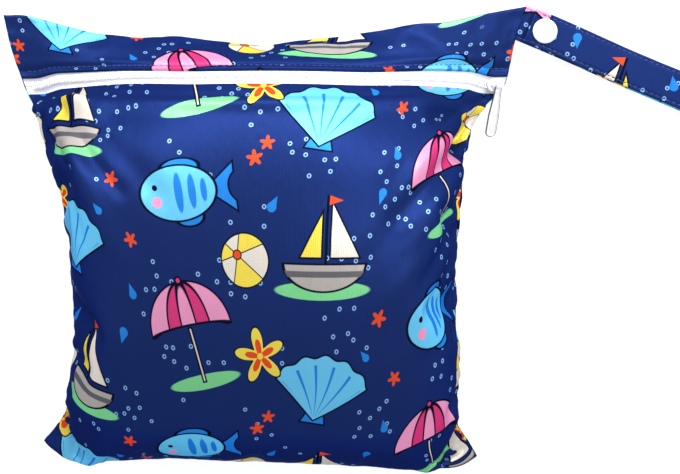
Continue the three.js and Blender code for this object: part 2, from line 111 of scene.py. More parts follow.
def hermite(start, rise, slopeA, slopeB, t):  # a cubic with given slopes at both ends
    bend = 3 * rise - 2 * slopeA - slopeB + t * (slopeA + slopeB - 2 * rise)
    return start + t * (slopeA + t * bend)


def runAlong(line):  # distance along a line of points
    return np.concatenate([[0], np.cumsum(np.linalg.norm(np.diff(line, axis=0), axis=1))])


def readLine(where, run, line):  # the line's points, or other values, at distances along it
    return np.stack([np.interp(where, run, values) for values in line.T], -1)


def addObject(name, data):
    thing = bpy.data.objects.new(name, data)
    bpy.context.scene.collection.objects.link(thing)
    return thing


def column(values, v):  # smooth value of a table's column at v
    knots, values, last = np.array(rowShares), np.array(values, float), len(rowShares) - 1
    i = np.clip(np.searchsorted(knots, v, side="right") - 1, 0, last - 1)
    before, after = np.maximum(i - 1, 0), np.minimum(i + 2, last)
    span = knots[i + 1] - knots[i]
    t = (v - knots[i]) / span
    slopeA = (values[i + 1] - values[before]) / (knots[i + 1] - knots[before]) * span
    slopeB = (values[after] - values[i]) / (knots[after] - knots[i]) * span
    return hermite(values[i], values[i + 1] - values[i], slopeA, slopeB, t)


def foldDepth(folds, u, v):
    depth = 0
    for fromU, fromV, toU, toV, width, deep in folds:
        runX, runY = (toU - fromU) * cut["width"] / 2, (toV - fromV) * cut["height"]
        hereX, hereY = (u - fromU) * cut["width"] / 2, (v - fromV) * cut["height"]
        share = np.clip((hereX * runX + hereY * runY) / (runX ** 2 + runY ** 2), 0, 1)
        off = np.hypot(hereX - runX * share, hereY - runY * share) / width
        depth = depth + deep * np.exp(-off * off) * (1 - foldFade["taper"] * share)
    return depth


def clothPoint(face, u, v):  # the cloth's inside face; u runs from -1 at the left seam to 1 at the right one
    u, v = np.broadcast_arrays(u, v)
    reach, left = np.abs(u), u < 0
    seamX, seamY, seamZ = (
        np.where(left, column(sideSeam["left" + axis], v), column(sideSeam["right" + axis], v))
        for axis in "XYZ"
    )
    shape = {name: column(values, v) for name, values in crossSection.items()}
    fullness = np.maximum(1 - reach ** shape["shoulder"], 0) ** shape[face + "Soft"]
    turn = reach ** shape["sweep"]
    x = reach * np.abs(seamX) * np.sign(u)
    y = shape[face + "Y"] + (seamY - shape[face + "Y"]) * turn - shape["dip"] * (reach ** 2 - turn)
    z = seamZ + (shape[face + "Z"] - seamZ) * fullness
    if face == "front":
        ends = np.minimum(1, np.minimum(v, 1 - v) * foldFade["ends"])
        fade = (1 - reach ** foldFade["sides"]) * ends
        z = z - foldDepth(frontFolds, u, v) * fade + cut["seamGap"] / 2
    else:
        roll = cut["floorRoll"]
        z = z - cut["thickness"] - cut["seamGap"]
        z = np.where(z >= roll, z, np.where(z <= -roll, 0, (z + roll) ** 2 / (4 * roll))) + cut["thickness"]
    return np.stack([x, y, z], -1)


probe = {"step": 0.004, "reach": 0.985, "end": 0.012, "fine": 401}  # how normals and even steps are measured


def clothNormal(face, u, v):
    u = np.clip(u, -probe["reach"], probe["reach"])
    v = np.clip(v, probe["end"], 1 - probe["end"])
    step = probe["step"]
    across = clothPoint(face, u + step, v) - clothPoint(face, u - step, v)
    up = clothPoint(face, u, v + step) - clothPoint(face, u, v - step)
    return unit(np.cross(across, up)) * (1 if face == "front" else -1)


def evenColumns(face, shares, v):  # u at even steps along the cloth, one row for each v
    fine = np.sin(np.linspace(-1, 1, probe["fine"]) * math.pi / 2)
    steps = np.linalg.norm(np.diff(clothPoint(face, fine[None, :], v[:, None]), axis=1), axis=-1)
    run = np.concatenate([np.zeros((len(v), 1)), np.cumsum(steps, 1)], 1)
    run = 2 * run / run[:, -1:] - 1
    return np.stack([np.interp(shares, row, fine) for row in run])


# the zip runs a little above its straight line on the cut, between the middle and its ends; rise and fade
# are in mm, the others are shares of the half width
zipBow = {"rise": 3.2, "leftFrom": 0.22, "rightFrom": 0.35, "ramp": 0.37, "end": 0.945, "endRamp": 0.12,
          "fade": 40}


def zipRise(u):  # as a share of the cut's height
    begin = np.where(u < 0, zipBow["leftFrom"], zipBow["rightFrom"])
    growing = smoothStep((np.abs(u) - begin) / zipBow["ramp"])
    fading = smoothStep((zipBow["end"] - np.abs(u)) / zipBow["endRamp"])
    return growing * fading * zipBow["rise"] / cut["height"]


# the cloth wrinkles under its filling, ten times life size, and keeps its seams and zip
swell = {"across": 84, "up": 80, "scale": 10, "frames": 60, "quality": 8, "pressure": 1.0, "cap": 6.0,
         "tension": 40, "shear": 8, "bending": 16, "mass": 0.1, "damping": 3, "airDrag": 1, "slack": 0.042,
         "zipHold": 7.0, "floorHold": 2.0}

# how far the sewn ends wave up or down at shares of their width, fading out from each end
topEdge = {"end": 1, "fade": 0.12,
           "share": [-1, -0.93, -0.8, -0.65, -0.45, -0.3, -0.15, 0, 0.12, 0.3, 0.45, 0.58, 0.66, 0.78,
                     0.9, 1],
           "rise": [0.4, 3.6, 2.4, -0.4, -0.4, 2.4, 0, -2, 0.6, 2, 3.4, 4.6, 2.2, 3, 2.2, 0.6]}
bottomEdge = {"end": 0, "fade": 0.3,
              "share": [-1, -0.9, -0.84, -0.75, -0.6, -0.35, -0.1, 0.2, 0.5, 0.75, 0.9, 1],
              "rise": [0, 1.0, -0.4, 1.6, 3, 3.2, 0.4, -0.6, -1.2, -1.2, -2.2, 0]}
edgeSoft = [0.1, 0.25, 0.3, 0.25, 0.1]  # rounds the corners of these waves


def edgeWave(edge, shares, rows):
    rise = np.interp(shares, edge["share"], edge["rise"])
    rise = np.convolve(np.pad(rise, 2, "edge"), edgeSoft, "valid")
    near = np.clip(1 - np.abs(rows - edge["end"]) / edge["fade"], 0, 1) ** 2
    return near[:, None] * rise[None, :]


def startGrids():
    shares = np.linspace(-1, 1, swell["across"] + 1)
    rows = np.linspace(0, 1, swell["up"] + 1)
    grids = {}
    for face in ("front", "back"):
        u, v = evenColumns(face, shares, rows), rows[:, None]
        if face == "front":
            v = v + zipRise(u) * smoothStep(1 - np.abs(v - zipAt) * cut["height"] / zipBow["fade"])
        grids[face] = clothPoint(face, u, v)
        grids[face][..., 1] += edgeWave(topEdge, shares, rows) + edgeWave(bottomEdge, shares, rows)
    return shares, rows, grids


# the cloth is longer than the form beside the side seams below the zip, and a little at the sewn ends
slackPlace = {"sideFrom": 0.45, "sideRamp": 0.35, "below": 0.79, "belowRamp": 0.08, "bottom": 0.12,
              "bottomTo": 0.14, "bottomRamp": 0.1, "top": 0.15, "topFrom": 0.93, "topRamp": 0.05}


def slackShare(shares, rows):
    reach, v, at = np.abs(shares)[None, :], rows[:, None], slackPlace
    sides = rampUp(reach - at["sideFrom"], at["sideRamp"]) * rampUp(at["below"] - v, at["belowRamp"])
    bottom = at["bottom"] * rampUp(at["bottomTo"] - v, at["bottomRamp"])
    top = at["top"] * rampUp(v - at["topFrom"], at["topRamp"])
    return np.maximum(sides, np.maximum(bottom, top))


def swellCloth():
    shares, rows, grids = startGrids()
    high, wide = len(rows), len(shares)
    ids = {"front": np.arange(high * wide).reshape(high, wide)}
    ids["back"] = ids["front"].copy()
    ids["back"][1:-1, 1:-1] = high * wide + np.arange((high - 2) * (wide - 2)).reshape(high - 2, wide - 2)
    count = high * wide + (high - 2) * (wide - 2)
    toSim = mm * swell["scale"]
    start, firm, held = np.zeros((count, 3)), np.zeros(count), np.zeros(count, bool)
    for face in ("back", "front"):
        start[ids[face]] = grids[face] * toSim
        firm[ids[face]] = 1 - slackShare(shares, rows)
    edge = np.ones((high, wide), bool)
    edge[1:-1, 1:-1] = False
    nearZip = np.abs(rows - zipAt) * cut["height"] < swell["zipHold"]
    held[ids["front"][edge | nearZip[:, None]]] = True
    held[ids["back"][grids["back"][..., 2] < cut["thickness"] + swell["floorHold"]]] = True
    quads = []
    for face in ("front", "back"):
        a, b, c, d = ids[face][:-1, :-1], ids[face][:-1, 1:], ids[face][1:, 1:], ids[face][1:, :-1]
        order = (a, b, c, d) if face == "front" else (a, d, c, b)
        quads.append(np.stack(order, -1).reshape(-1, 4))
    mesh = bpy.data.meshes.new("swelling")
    mesh.from_pydata(start.tolist(), [], np.concatenate(quads).tolist())
    body = addObject("swelling", mesh)
    pins = body.vertex_groups.new(name="held")
    pins.add(np.flatnonzero(held).tolist(), 1.0, "REPLACE")
    tight = body.vertex_groups.new(name="tight")
    for i, weight in enumerate(firm.tolist()):
        tight.add([i], weight, "REPLACE")
    modifier = body.modifiers.new("cloth", "CLOTH")
    rules = modifier.settings
    rules.vertex_group_mass = "held"
    rules.vertex_group_shrink = "tight"
    rules.shrink_min, rules.shrink_max = -swell["slack"], 0.0
    rules.quality = swell["quality"]
    rules.mass = swell["mass"]
    rules.air_damping = swell["airDrag"]
    rules.tension_stiffness = rules.compression_stiffness = swell["tension"]
    rules.shear_stiffness = swell["shear"]
    rules.bending_stiffness = swell["bending"]
    rules.tension_damping = rules.compression_damping = rules.shear_damping = swell["damping"]
    rules.use_pressure = True
    rules.uniform_pressure_force = swell["pressure"]
    rules.effector_weights.gravity = 0
    modifier.collision_settings.use_collision = False
    modifier.point_cache.frame_end = swell["frames"]
    for step in range(1, swell["frames"] + 1):
        bpy.context.scene.frame_set(step)
    settled = body.evaluated_get(bpy.context.evaluated_depsgraph_get())
    moved = np.zeros(count * 3, np.float32)
    settled.data.vertices.foreach_get("co", moved)
    bpy.context.scene.frame_set(1)
    bpy.data.objects.remove(body)
    bpy.data.meshes.remove(mesh)
    shift = (moved.reshape(-1, 3) - start) / toSim
    far = np.linalg.norm(shift, axis=1, keepdims=True)
    print("cloth moved by up to", round(float(far.max()), 1), "mm, mean", round(float(far.mean()), 2))
    shift *= np.minimum(1, swell["cap"] / np.maximum(far, 1e-9))
    return {face: grids[face] + shift[ids[face]] for face in grids}


def splineWeights(places, steps):  # weights that read a row of steps + 1 points at places from 0 to 1
    at = np.clip(np.asarray(places, float), 0, 1) * steps
    i = np.minimum(at.astype(int), steps - 1)
    t = at - i
    parts = ((-t + 2 * t**2 - t**3) / 2, (2 - 5 * t**2 + 3 * t**3) / 2,
             (t + 4 * t**2 - 3 * t**3) / 2, (t**3 - t**2) / 2)
    weights = np.zeros((len(at), steps + 1))
    for offset, part in enumerate(parts):
        np.add.at(weights, (np.arange(len(at)), np.clip(i + offset - 1, 0, steps)), part)
    return weights


def gridNormals(grid, face):
    normals = unit(np.cross(np.gradient(grid, axis=1), np.gradient(grid, axis=0)))
    return normals * (1 if face == "front" else -1)


formGrids = swellCloth()
formNormals = {face: gridNormals(grid, face) for face, grid in formGrids.items()}


def readCloth(face, shares, rows):  # places and normals of the swollen cloth
    down = splineWeights(rows, swell["up"])
    along = splineWeights((np.asarray(shares) + 1) / 2, swell["across"])
    place = np.einsum("ri,ijk,cj->rck", down, formGrids[face], along)
    normal = np.einsum("ri,ijk,cj->rck", down, formNormals[face], along)
    return place, unit(normal)


print("cloth form ready")


def addMesh(name, points, faces, flat=None, sharp=None, edge=None):
    mesh = bpy.data.meshes.new(name)
    mesh.from_pydata((np.asarray(points) * mm).tolist(), [], [list(map(int, f)) for f in faces])
    if flat is not None:
        place = mesh.attributes.new("flat", "FLOAT_VECTOR", "POINT")
        place.data.foreach_set("vector", np.asarray(flat, np.float32).ravel())
    # the edge mask marks the points that get a grey painted shade
    if edge is not None:
        bare = mesh.attributes.new("edge", "FLOAT", "POINT")
        bare.data.foreach_set("value", np.asarray(edge, np.float32))
    mesh.shade_smooth()
    if sharp is not None:
        mesh.set_sharp_from_angle(angle=math.radians(sharp))
    return addObject(name, mesh)


def wallFaces(high, wide, flip=False):  # outer grid first, then the inner one, closed round the rim
    layer = high * wide
    ids = np.arange(layer).reshape(high, wide)
    a, b, c, d = ids[:-1, :-1].ravel(), ids[:-1, 1:].ravel(), ids[1:, 1:].ravel(), ids[1:, :-1].ravel()
    outer = np.stack([a, b, c, d], -1)
    inner = np.stack([a, d, c, b], -1) + layer
    rim = np.concatenate([ids[0, :-1], ids[:-1, -1], ids[-1, :0:-1], ids[:0:-1, 0]])
    after = np.roll(rim, -1)
    side = np.stack([rim + layer, after + layer, after, rim], -1)
    faces = np.concatenate([outer, inner, side])
    return faces[:, ::-1] if flip else faces


def addWall(name, outer, inner, flat, flip=False):  # a thin closed wall between two grids of points
    points = np.concatenate([outer.reshape(-1, 3), inner.reshape(-1, 3)])
    return addMesh(name, points, wallFaces(*outer.shape[:2], flip), np.concatenate([flat.reshape(-1, 3)] * 2))


def spread(low, high, step, fine=()):  # even steps between low and high with finer ones beside the ends
    near = np.array([x for x in fine if x < (high - low) / 2])
    start = near[-1] if len(near) else 0
    middle = np.linspace(low + start, high - start, max(2, round((high - low - 2 * start) / step) + 1))
    return np.unique(np.round(np.concatenate([[low], low + near, middle, high - near, [high]]), 6))


def waver(along, seed):  # an uneven wave between about -1 and 1
    rng = np.random.default_rng(seed)
    wave = 0
    for length in (1.0, 1.7, 2.9):
        wave = wave + np.sin(2 * math.pi * (along / length + rng.random()))
    return wave / 2.2


# panels of printed knit: rolled seams with puckers, and folded, top-stitched edges beside the zip; creases
# end over seamFade at the seams, and over zipFade at the zip, past a share zipClear of it
panel = {"step": 1.7, "fineEdge": (0.3, 0.6, 1.0, 1.5, 2.1, 2.8, 3.6, 4.6, 5.8, 7.2), "roll": 2.0,
         "sink": 0.35, "sidePucker": 0.4, "endPucker": 0.15, "puckerLength": 8.0, "puckerFade": 9.0,
         "foldRoll": 1.1, "stitchWidth": 0.9, "foldBack": 1.1, "seamFade": 6, "zipFade": 14, "zipClear": 0.6,
         "thinnest": 0.15, "floorGap": 0.02, "innerFloorGap": 0.12, "backPrint": (37, 61, 0)}
lowerFlange = {"edge": lowerFold - panel["foldBack"] / cut["height"], "stitchAt": 9.6, "lift": 0.0,
               "rise": 1.6, "riseFade": 24, "sink": 1.0, "puff": 1.6, "puffAt": 5.0}
upperFlange = {"edge": upperFold, "stitchAt": 4.7, "lift": 0.8, "rise": 0.0, "riseFade": 20, "sink": 0.7,
               "puff": 0.6, "puffAt": 4.0}

# sharper creases, laid out as frontFolds in shares of the cloth; the last four turn the lower corners to ears
creases = [
    (-0.80, 0.75, -0.50, 0.60, 5.0, 3.8),
    (-0.95, 0.80, -0.62, 0.755, 8.0, -5.0),
    (-0.72, 0.70, -0.58, 0.50, 6.0, -1.8),
    (-0.80, 0.68, -0.70, 0.50, 4.5, 1.8),
    (-0.93, 0.81, -0.94, 0.58, 3.0, 1.3),
    (0.97, 0.71, 0.54, 0.55, 7.0, 5.0),
    (0.90, 0.76, 0.62, 0.64, 8.0, -3.5),
    (0.95, 0.65, 0.60, 0.50, 7.0, -1.8),
    (0.96, 0.57, 0.65, 0.43, 6.0, 3.6),
    (0.93, 0.48, 0.70, 0.37, 5.0, 2.0),
    (-0.99, 0.125, -0.82, 0.02, 4.2, 9.0),
    (-0.87, 0.11, -0.75, 0.02, 5.0, -3.5),
    (0.99, 0.13, 0.83, -0.01, 3.2, 5.0),
    (0.92, 0.15, 0.76, 0.01, 5.0, -2.0),
]


def flangeHeight(distance, flange):  # outer face beside the zip: rolled edge, flange, stitch valley and puff
    share = np.clip(distance / flange["stitchAt"], 0, 1)
    beyond = np.maximum(distance - flange["stitchAt"], 0)
    past = beyond / flange["puffAt"]
    hump = flange["rise"] * share * np.exp(-((beyond / flange["riseFade"]) ** 2))
    height = cut["thickness"] + flange["lift"] * (1 - share) + hump
    height = height - flange["sink"] * np.exp(-((distance - flange["stitchAt"]) / panel["stitchWidth"]) ** 2)
    height = height + flange["puff"] * past ** 2 * np.exp(1 - past ** 2)
    inRoll = np.clip(1 - distance / panel["foldRoll"], 0, 1)
    return height * np.sqrt(1 - inRoll ** 2)


def makePanel(name, face, lowV, highV, flange=None):
    widthMm, heightMm = cut["width"], cut["height"]
    acrossMm = spread(-widthMm / 2, widthMm / 2, panel["step"], panel["fineEdge"])
    upMm = spread(lowV * heightMm, highV * heightMm, panel["step"], panel["fineEdge"])
    place, normal = readCloth(face, acrossMm / (widthMm / 2), upMm / heightMm)
    x, y = np.broadcast_arrays(acrossMm[None, :], upMm[:, None])
    side = widthMm / 2 - np.abs(x)
    ends = np.minimum(y, heightMm - y)
    edge = np.minimum(side, ends)
    height = np.full(x.shape, cut["thickness"])
    if flange:
        height = flangeHeight(np.abs(y - flange["edge"] * heightMm), flange)
    inRoll = np.clip(1 - edge / panel["roll"], 0, 1)
    height = (height + panel["sink"]) * np.sqrt(1 - inRoll ** 2) - panel["sink"]
    sideWave = waver(y / panel["puckerLength"], 3) * np.exp(-side / panel["puckerFade"])
    endWave = waver(x / panel["puckerLength"], 5) * np.exp(-ends / panel["puckerFade"])
    height = height + (panel["sidePucker"] * sideWave + panel["endPucker"] * endWave) * (1 - inRoll)
    if face == "front":
        sewn = np.clip(np.abs(y - zipAt * heightMm) / panel["zipFade"] - panel["zipClear"], 0, 1)
        sewn = sewn * rampUp(edge, panel["seamFade"])
        place = place - normal * (foldDepth(creases, x / (widthMm / 2), y / heightMm) * sewn)[..., None]
    outer = place + normal * height[..., None]
    inner = place + normal * np.minimum(height - panel["thinnest"], 0)[..., None]
    outer[..., 2] = np.maximum(outer[..., 2], panel["floorGap"])
    inner[..., 2] = np.maximum(inner[..., 2], panel["innerFloorGap"])
    flat = np.stack([x, y, np.zeros_like(x)], -1)
    if face == "back":
        flat = flat * (-1, 1, 1) + panel["backPrint"]  # the back is cut from another place of the print
    return addWall(name, outer, inner, flat, flip=face == "back")


frontCloth = makePanel("front_cloth", "front", 0, lowerFlange["edge"], lowerFlange)
topCloth = makePanel("top_cloth", "front", upperFlange["edge"], 1, upperFlange)
backCloth = makePanel("back_cloth", "back", 0, 1)
print("panels made")

# zip: woven tapes under the folded edges and two interlocked coils
zipParts = {"tape": 0.8, "tapeLong": 290, "tapeReach": 0.999, "tapeColumns": 221, "tapeRows": 15,
            "underCloth": 5.0, "seat": 0.7, "coilStart": -0.97, "coilEnd": 0.96, "coilSamples": 1600,
            "pitch": 1.25, "lead": 0.3, "coilReach": 2.45, "overlap": 0.15, "coilHigh": 1.45, "wire": 0.3,
            "wireSides": 6, "turnSteps": 10}


def zipLine(u):
    return clothPoint("front", u, zipAt + zipRise(u))


def zipFrame(u):  # place, along, up and out of the zip's middle line
    along = unit(zipLine(u + probe["step"]) - zipLine(u - probe["step"]))
    face = clothNormal("front", u, zipAt + zipRise(u))
    up = unit(np.cross(face, along))
    return zipLine(u) - cut["seamGap"] * face, along, up, np.cross(along, up)


def makeTape(name, lowV, highV):
    u = np.sin(np.linspace(-1, 1, zipParts["tapeColumns"]) * math.asin(zipParts["tapeReach"]))
    v = np.linspace(lowV, highV, zipParts["tapeRows"])
    bent = v[:, None] + zipRise(u)[None, :]
    place, normal = clothPoint("front", u[None, :], bent), clothNormal("front", u[None, :], bent)
    outer, inner = (place + normal * lift for lift in (-cut["seamGap"], -cut["seamGap"] - zipParts["tape"]))
    flat = np.stack(np.broadcast_arrays(u[None, :] * cut["width"] / 2, v[:, None] * cut["height"], 0.0), -1)
    return addWall(name, outer, inner, flat)


def ringFaces(rings, sides):  # rings of points joined in order and closed at both ends
    ids = np.arange(rings * sides).reshape(rings, sides)
    after = np.roll(ids, -1, axis=1)
    faces = np.stack([ids[:-1], after[:-1], after[1:], ids[1:]], -1).reshape(-1, 4).tolist()
    return faces + [ids[0, ::-1].tolist(), ids[-1].tolist()]


def tube(path, radius, sides, across):  # rings round a path, turned by a vector that is never along it
    ahead = unit(np.gradient(path, axis=0))
    first = unit(np.cross(ahead, across))
    second = np.cross(ahead, first)
    angle = np.linspace(0, 2 * math.pi, sides, endpoint=False)
    radius = np.broadcast_to(radius, len(path))[:, None, None]
    rings = path[:, None] + radius * (
        np.cos(angle)[None, :, None] * first[:, None] + np.sin(angle)[None, :, None] * second[:, None]
    )
    return rings.reshape(-1, 3), ringFaces(len(path), sides)


class Pile:  # several closed shapes gathered into one mesh
    def __init__(self):
        self.points, self.faces, self.count = [], [], 0

    def add(self, points, faces):
        self.points.append(np.asarray(points, float))
        self.faces += [[i + self.count for i in face] for face in faces]
        self.count += len(points)

    def place(self, turn, at):
        self.points = [part @ turn.T + at for part in self.points]

    def make(self, name, **more):
        return addMesh(name, np.concatenate(self.points), self.faces, **more)


def makeCoil():
    u = np.linspace(zipParts["coilStart"], zipParts["coilEnd"], zipParts["coilSamples"])
    at, along, up, out = zipFrame(u)
    run = runAlong(at)
    turns = int(run[-1] / zipParts["pitch"]) - 1
    angle = np.arange(turns * zipParts["turnSteps"] + 1) / zipParts["turnSteps"] * 2 * math.pi
    pile = Pile()
    wire, overlap = zipParts["wire"], zipParts["overlap"]
    half, high = zipParts["coilReach"] / 2, zipParts["coilHigh"] / 2
    for side, lag in ((1, 0), (-1, 0.5)):
        where = (angle / (2 * math.pi) + lag + zipParts["lead"]) * zipParts["pitch"]
        centre, acrossZip, outward, ahead = (readLine(where, run, field) for field in (at, up, out, along))
        sideways = side * (half - overlap + (half + overlap - wire) * np.cos(angle))
        lift = zipParts["seat"] + high + (high - wire) * np.sin(angle)
        path = centre + acrossZip * sideways[:, None] + outward * lift[:, None]
        pile.add(*tube(path, wire, zipParts["wireSides"], ahead))
    return pile.make("zip_coil")


split = cut["seamGap"] / 2 / cut["height"]
under = zipParts["underCloth"] / cut["height"]
lowerTape = makeTape("zip_tape_lower_weave", lowerFold - under, zipAt - split)
upperTape = makeTape("zip_tape_upper_weave", zipAt + split, upperFold + under)
zipCoil = makeCoil()
print("zip made")

# slider: shield-shaped plates with cheeks, a post and a crown for the pull
slider = {"reach": 0.957, "length": 9.6, "width": 7.2, "bevel": 0.35, "top": 3.9, "plate": 1.1,
          "plateTurn": 1.2, "cheek": 0.75, "cheekLow": 1.9, "cheekSunk": 0.3, "cheekTurn": 0.25,
          "cheekBevel": 0.2, "bottom": -2.3, "bottomPlate": 1.1, "bottomTurn": 0.8, "post": 1.6,
          "postAt": 1.5, "postSunk": 0.4, "postTurn": 0.3, "postBevel": 0.05, "crownHalf": 2.9,
          "crownSunk": 0.5, "crownTurn": 0.9, "barHeight": 7.0, "barRadius": 0.7, "barSides": 14}


def prism(outline, low, high, bevel):  # an outline given height, with rounded edges
    form = bmesh.new()
    bottom = [form.verts.new((x, y, low)) for x, y in outline]
    top = [form.verts.new((x, y, high)) for x, y in outline]
    form.faces.new(bottom[::-1])
    form.faces.new(top)
    for i in range(len(outline)):
        j = (i + 1) % len(outline)
        form.faces.new((bottom[i], bottom[j], top[j], top[i]))
    rims = [e for e in form.edges if abs(e.verts[0].co.z - e.verts[1].co.z) < 1e-6]
    bmesh.ops.bevel(form, geom=rims, offset=bevel, segments=3, profile=0.5, affect="EDGES")
    form.verts.index_update()
    points = np.array([v.co for v in form.verts])
    faces = [[v.index for v in f.verts] for f in form.faces]
    form.free()
    return points, faces


def turnCorner(before, here, after, reach, steps):  # points of a curve that cuts the corner at here
    start, end = here + unit(before - here) * reach, here + unit(after - here) * reach
    return [(1 - t) ** 2 * start + 2 * t * (1 - t) * here + t * t * end for t in np.linspace(0, 1, steps + 1)]


def roundedPath(corners, radius, steps=6):  # an open line with its corners turned
    corners = np.array(corners, float)
    path = [corners[0]]
    for before, here, after in zip(corners[:-2], corners[1:-1], corners[2:]):
        path += turnCorner(before, here, after, radius, steps)
    return np.array(path + [corners[-1]])


def smoothOutline(corners, radius, steps=4):  # a closed outline with its corners turned
    corners = np.array(corners, float)
    points = []
    for before, here, after in zip(np.roll(corners, 1, 0), corners, np.roll(corners, -1, 0)):
        reach = min(radius, np.linalg.norm(before - here) * 0.45, np.linalg.norm(after - here) * 0.45)
        points += turnCorner(before, here, after, reach, steps)
    return points


def rectangle(left, right, low, high):
    return [(left, low), (right, low), (right, high), (left, high)]


def mirrored(lower):  # an outline from its lower half
    return lower + [(x, -y) for x, y in lower[::-1] if y]


def localMatrix(u):
    at, along, up, out = (field.reshape(3) for field in zipFrame(np.array([u])))
    return np.stack([along, up, out], -1), at


def makeSlider():
    half, wide, bevel = slider["length"] / 2, slider["width"] / 2, slider["bevel"]
    top, bottom, post = slider["top"], slider["bottom"], slider["post"] / 2
    postStart, postEnd = slider["postAt"] - post, slider["postAt"] + post
    # the plates' outlines are shares of the half length and the half width
    nose = [(-half, -wide * 0.72), (-half * 0.45, -wide)]
    shield = mirrored(nose + [(half * 0.8, -wide), (half, -wide * 0.7), (half * 0.82, 0)])
    lowPlate = mirrored(nose + [(postEnd, -wide * 0.9)])
    stem = rectangle(postStart, postEnd, -post, post)
    pile = Pile()
    pile.add(*prism(smoothOutline(shield, slider["plateTurn"]), top - slider["plate"], top, bevel))
    for low, high in ((wide - slider["cheek"], wide), (-wide, slider["cheek"] - wide)):
        cheek = smoothOutline(rectangle(-half * 0.5, half * 0.78, low, high), slider["cheekTurn"])
        pile.add(*prism(cheek, slider["cheekLow"], top - slider["cheekSunk"], slider["cheekBevel"]))
    lowPlate = smoothOutline(lowPlate, slider["bottomTurn"])
    pile.add(*prism(lowPlate, bottom, bottom + slider["bottomPlate"], bevel))
    stem, sunk = smoothOutline(stem, slider["postTurn"]), slider["postSunk"]
    pile.add(*prism(stem, bottom + sunk, top - sunk, slider["postBevel"]))
    crown, bar, foot = slider["crownHalf"], slider["barHeight"], top - slider["crownSunk"]
    line = [(-crown, 0, foot), (-crown, 0, bar), (crown, 0, bar), (crown, 0, foot)]
    line = roundedPath(line, slider["crownTurn"])
    pile.add(*tube(line, slider["barRadius"], slider["barSides"], np.array([0, 1.0, 0])))
    pile.place(*localMatrix(slider["reach"]))
    return pile.make("slider_body", sharp=50)


sliderBody = makeSlider()
print("slider made")

# pull: a long tab with a raised rim, on a knuckle that turns on the crown's bar; a grey band of painted shade
# runs round the tab's edge
pull = {"length": 31, "width": 6.4, "neck": 4.2, "neckEnd": 6, "taperEnd": 18, "tipSteps": 19,
        "thickness": 1.2, "rim": 0.95, "recess": 0.28, "bare": 0.53, "tabStart": 1.35, "knuckleIn": 1.15,
        "knuckleOut": 2.0, "knuckleLength": 3.2, "knuckleSides": 32, "innerBevel": 0.15, "outerBevel": 0.25}


def tabOutline(inset):
    tip, neck = pull["width"] / 2 - inset, pull["neck"] / 2 - inset
    points = [(-neck, -pull["tabStart"] - inset), (-neck, -pull["neckEnd"]), (-tip, -pull["taperEnd"])]
    for angle in np.linspace(math.pi, 2 * math.pi, pull["tipSteps"]):
        points.append((tip * math.cos(angle), pull["width"] / 2 - pull["length"] + tip * math.sin(angle)))
    return points + [(tip, -pull["taperEnd"]), (neck, -pull["neckEnd"]), (neck, -pull["tabStart"] - inset)]


def addTab(pile):  # tells which of its points carry the grey painted shade of the rim's edge
    half, rim = pull["thickness"] / 2, pull["rim"]
    # inset and height of the rings from the tab's edge over its rim into its recess
    section = [(0.0, 0.0), (0.0, half - 0.3), (0.12, half - 0.1), (0.5, half), (0.56, half),
               (rim - 0.15, half), (rim, half - 0.1), (rim + 0.12, half - pull["recess"])]
    section = [(inset, -height) for inset, height in section[:0:-1]] + section
    rings = [[(x, y, height) for x, y in tabOutline(inset)] for inset, height in section]
    pile.add(np.concatenate(rings), ringFaces(len(rings), len(rings[0])))
    # points near the tab's outline are marked for a grey band of painted shade on the rim's edge
    return np.repeat([inset < pull["bare"] for inset, height in section], len(rings[0]))


def addKnuckle(pile):  # a short sleeve with rounded rims, with no painted rim shade on it
    inside, outside, long = pull["knuckleIn"], pull["knuckleOut"], pull["knuckleLength"] / 2
    inner, outer = pull["innerBevel"], pull["outerBevel"]
    half = [(long - outer, outside), (long, outside - outer), (long, inside + inner), (long - inner, inside)]
    section = [(-x, r) for x, r in half[2::-1]] + half + [(-half[3][0], inside)]
    turns = np.linspace(0, 2 * math.pi, pull["knuckleSides"], endpoint=False)
    points = np.array([(x, r * math.cos(a), r * math.sin(a)) for a in turns for x, r in section])
    ids = np.arange(len(points)).reshape(len(turns), len(section))
    nextTurn, nextPoint = np.roll(ids, -1, 0), np.roll(ids, -1, 1)
    faces = np.stack([nextPoint, np.roll(nextTurn, -1, 1), nextTurn, ids], -1).reshape(-1, 4)
    pile.add(points, faces.tolist())
    return np.zeros(len(points))


def makePull():
    pile = Pile()
    bare = np.concatenate([addTab(pile), addKnuckle(pile)])
    hinge = frame["joints"][0]
    bar = -np.array(hinge["axis"])
    level = unit(np.cross((0, 0, 1), bar))
    overhead = np.cross(bar, level)
    centre = np.array(hinge["pos_m"]) / mm
    fall = centre[2] - pull["thickness"] / 2 - cut["seamGap"]  # down to where the tip lies
    droop = math.asin(fall / pull["length"] / overhead[2])
    swing = np.array(Matrix.Rotation(droop, 3, "X"))
    pile.place(np.stack([bar, level, overhead], -1) @ swing, centre)
    # the mask of painted rim shade goes to the mesh's edge attribute
    return pile.make("pull_tab", sharp=40, edge=bare)


pullTab = makePull()
print("pull made")

# strap: one stitched strip that runs out, turns back over itself and snaps down on its root
strap = {"width": 20, "thickness": 1.4, "heading": -22.8, "rootX": 143.5, "rootY": 132.3, "snapAt": 12,
         "steps": 260, "fine": 40, "columns": 41, "tuck": 3.0, "stitchIn": 1.9, "groove": 0.2,
         "grooveWide": 0.7, "endRoll": 0.8, "ripple": 0.12, "rippleLength": 11, "printFrom": (-58, 96),
         "floorGap": 0.02, "stitchClear": 0.6}
# its middle line, along its heading and up: from the seam out to the fold and back to the free end
strapLine = [(-strap["tuck"], 7.4), (5, 7.2), (20, 7.2), (40, 4.6), (62, 1.2), (80, 0.9), (110, 0.9),
             (138, 1), (147, 2.6), (150, 6.6), (146, 10.4), (136, 11.4), (112, 9.2), (84, 6.2), (62, 6),
             (42, 8.6), (20, 11.6), (5, 11.6), (3, 11.6)]


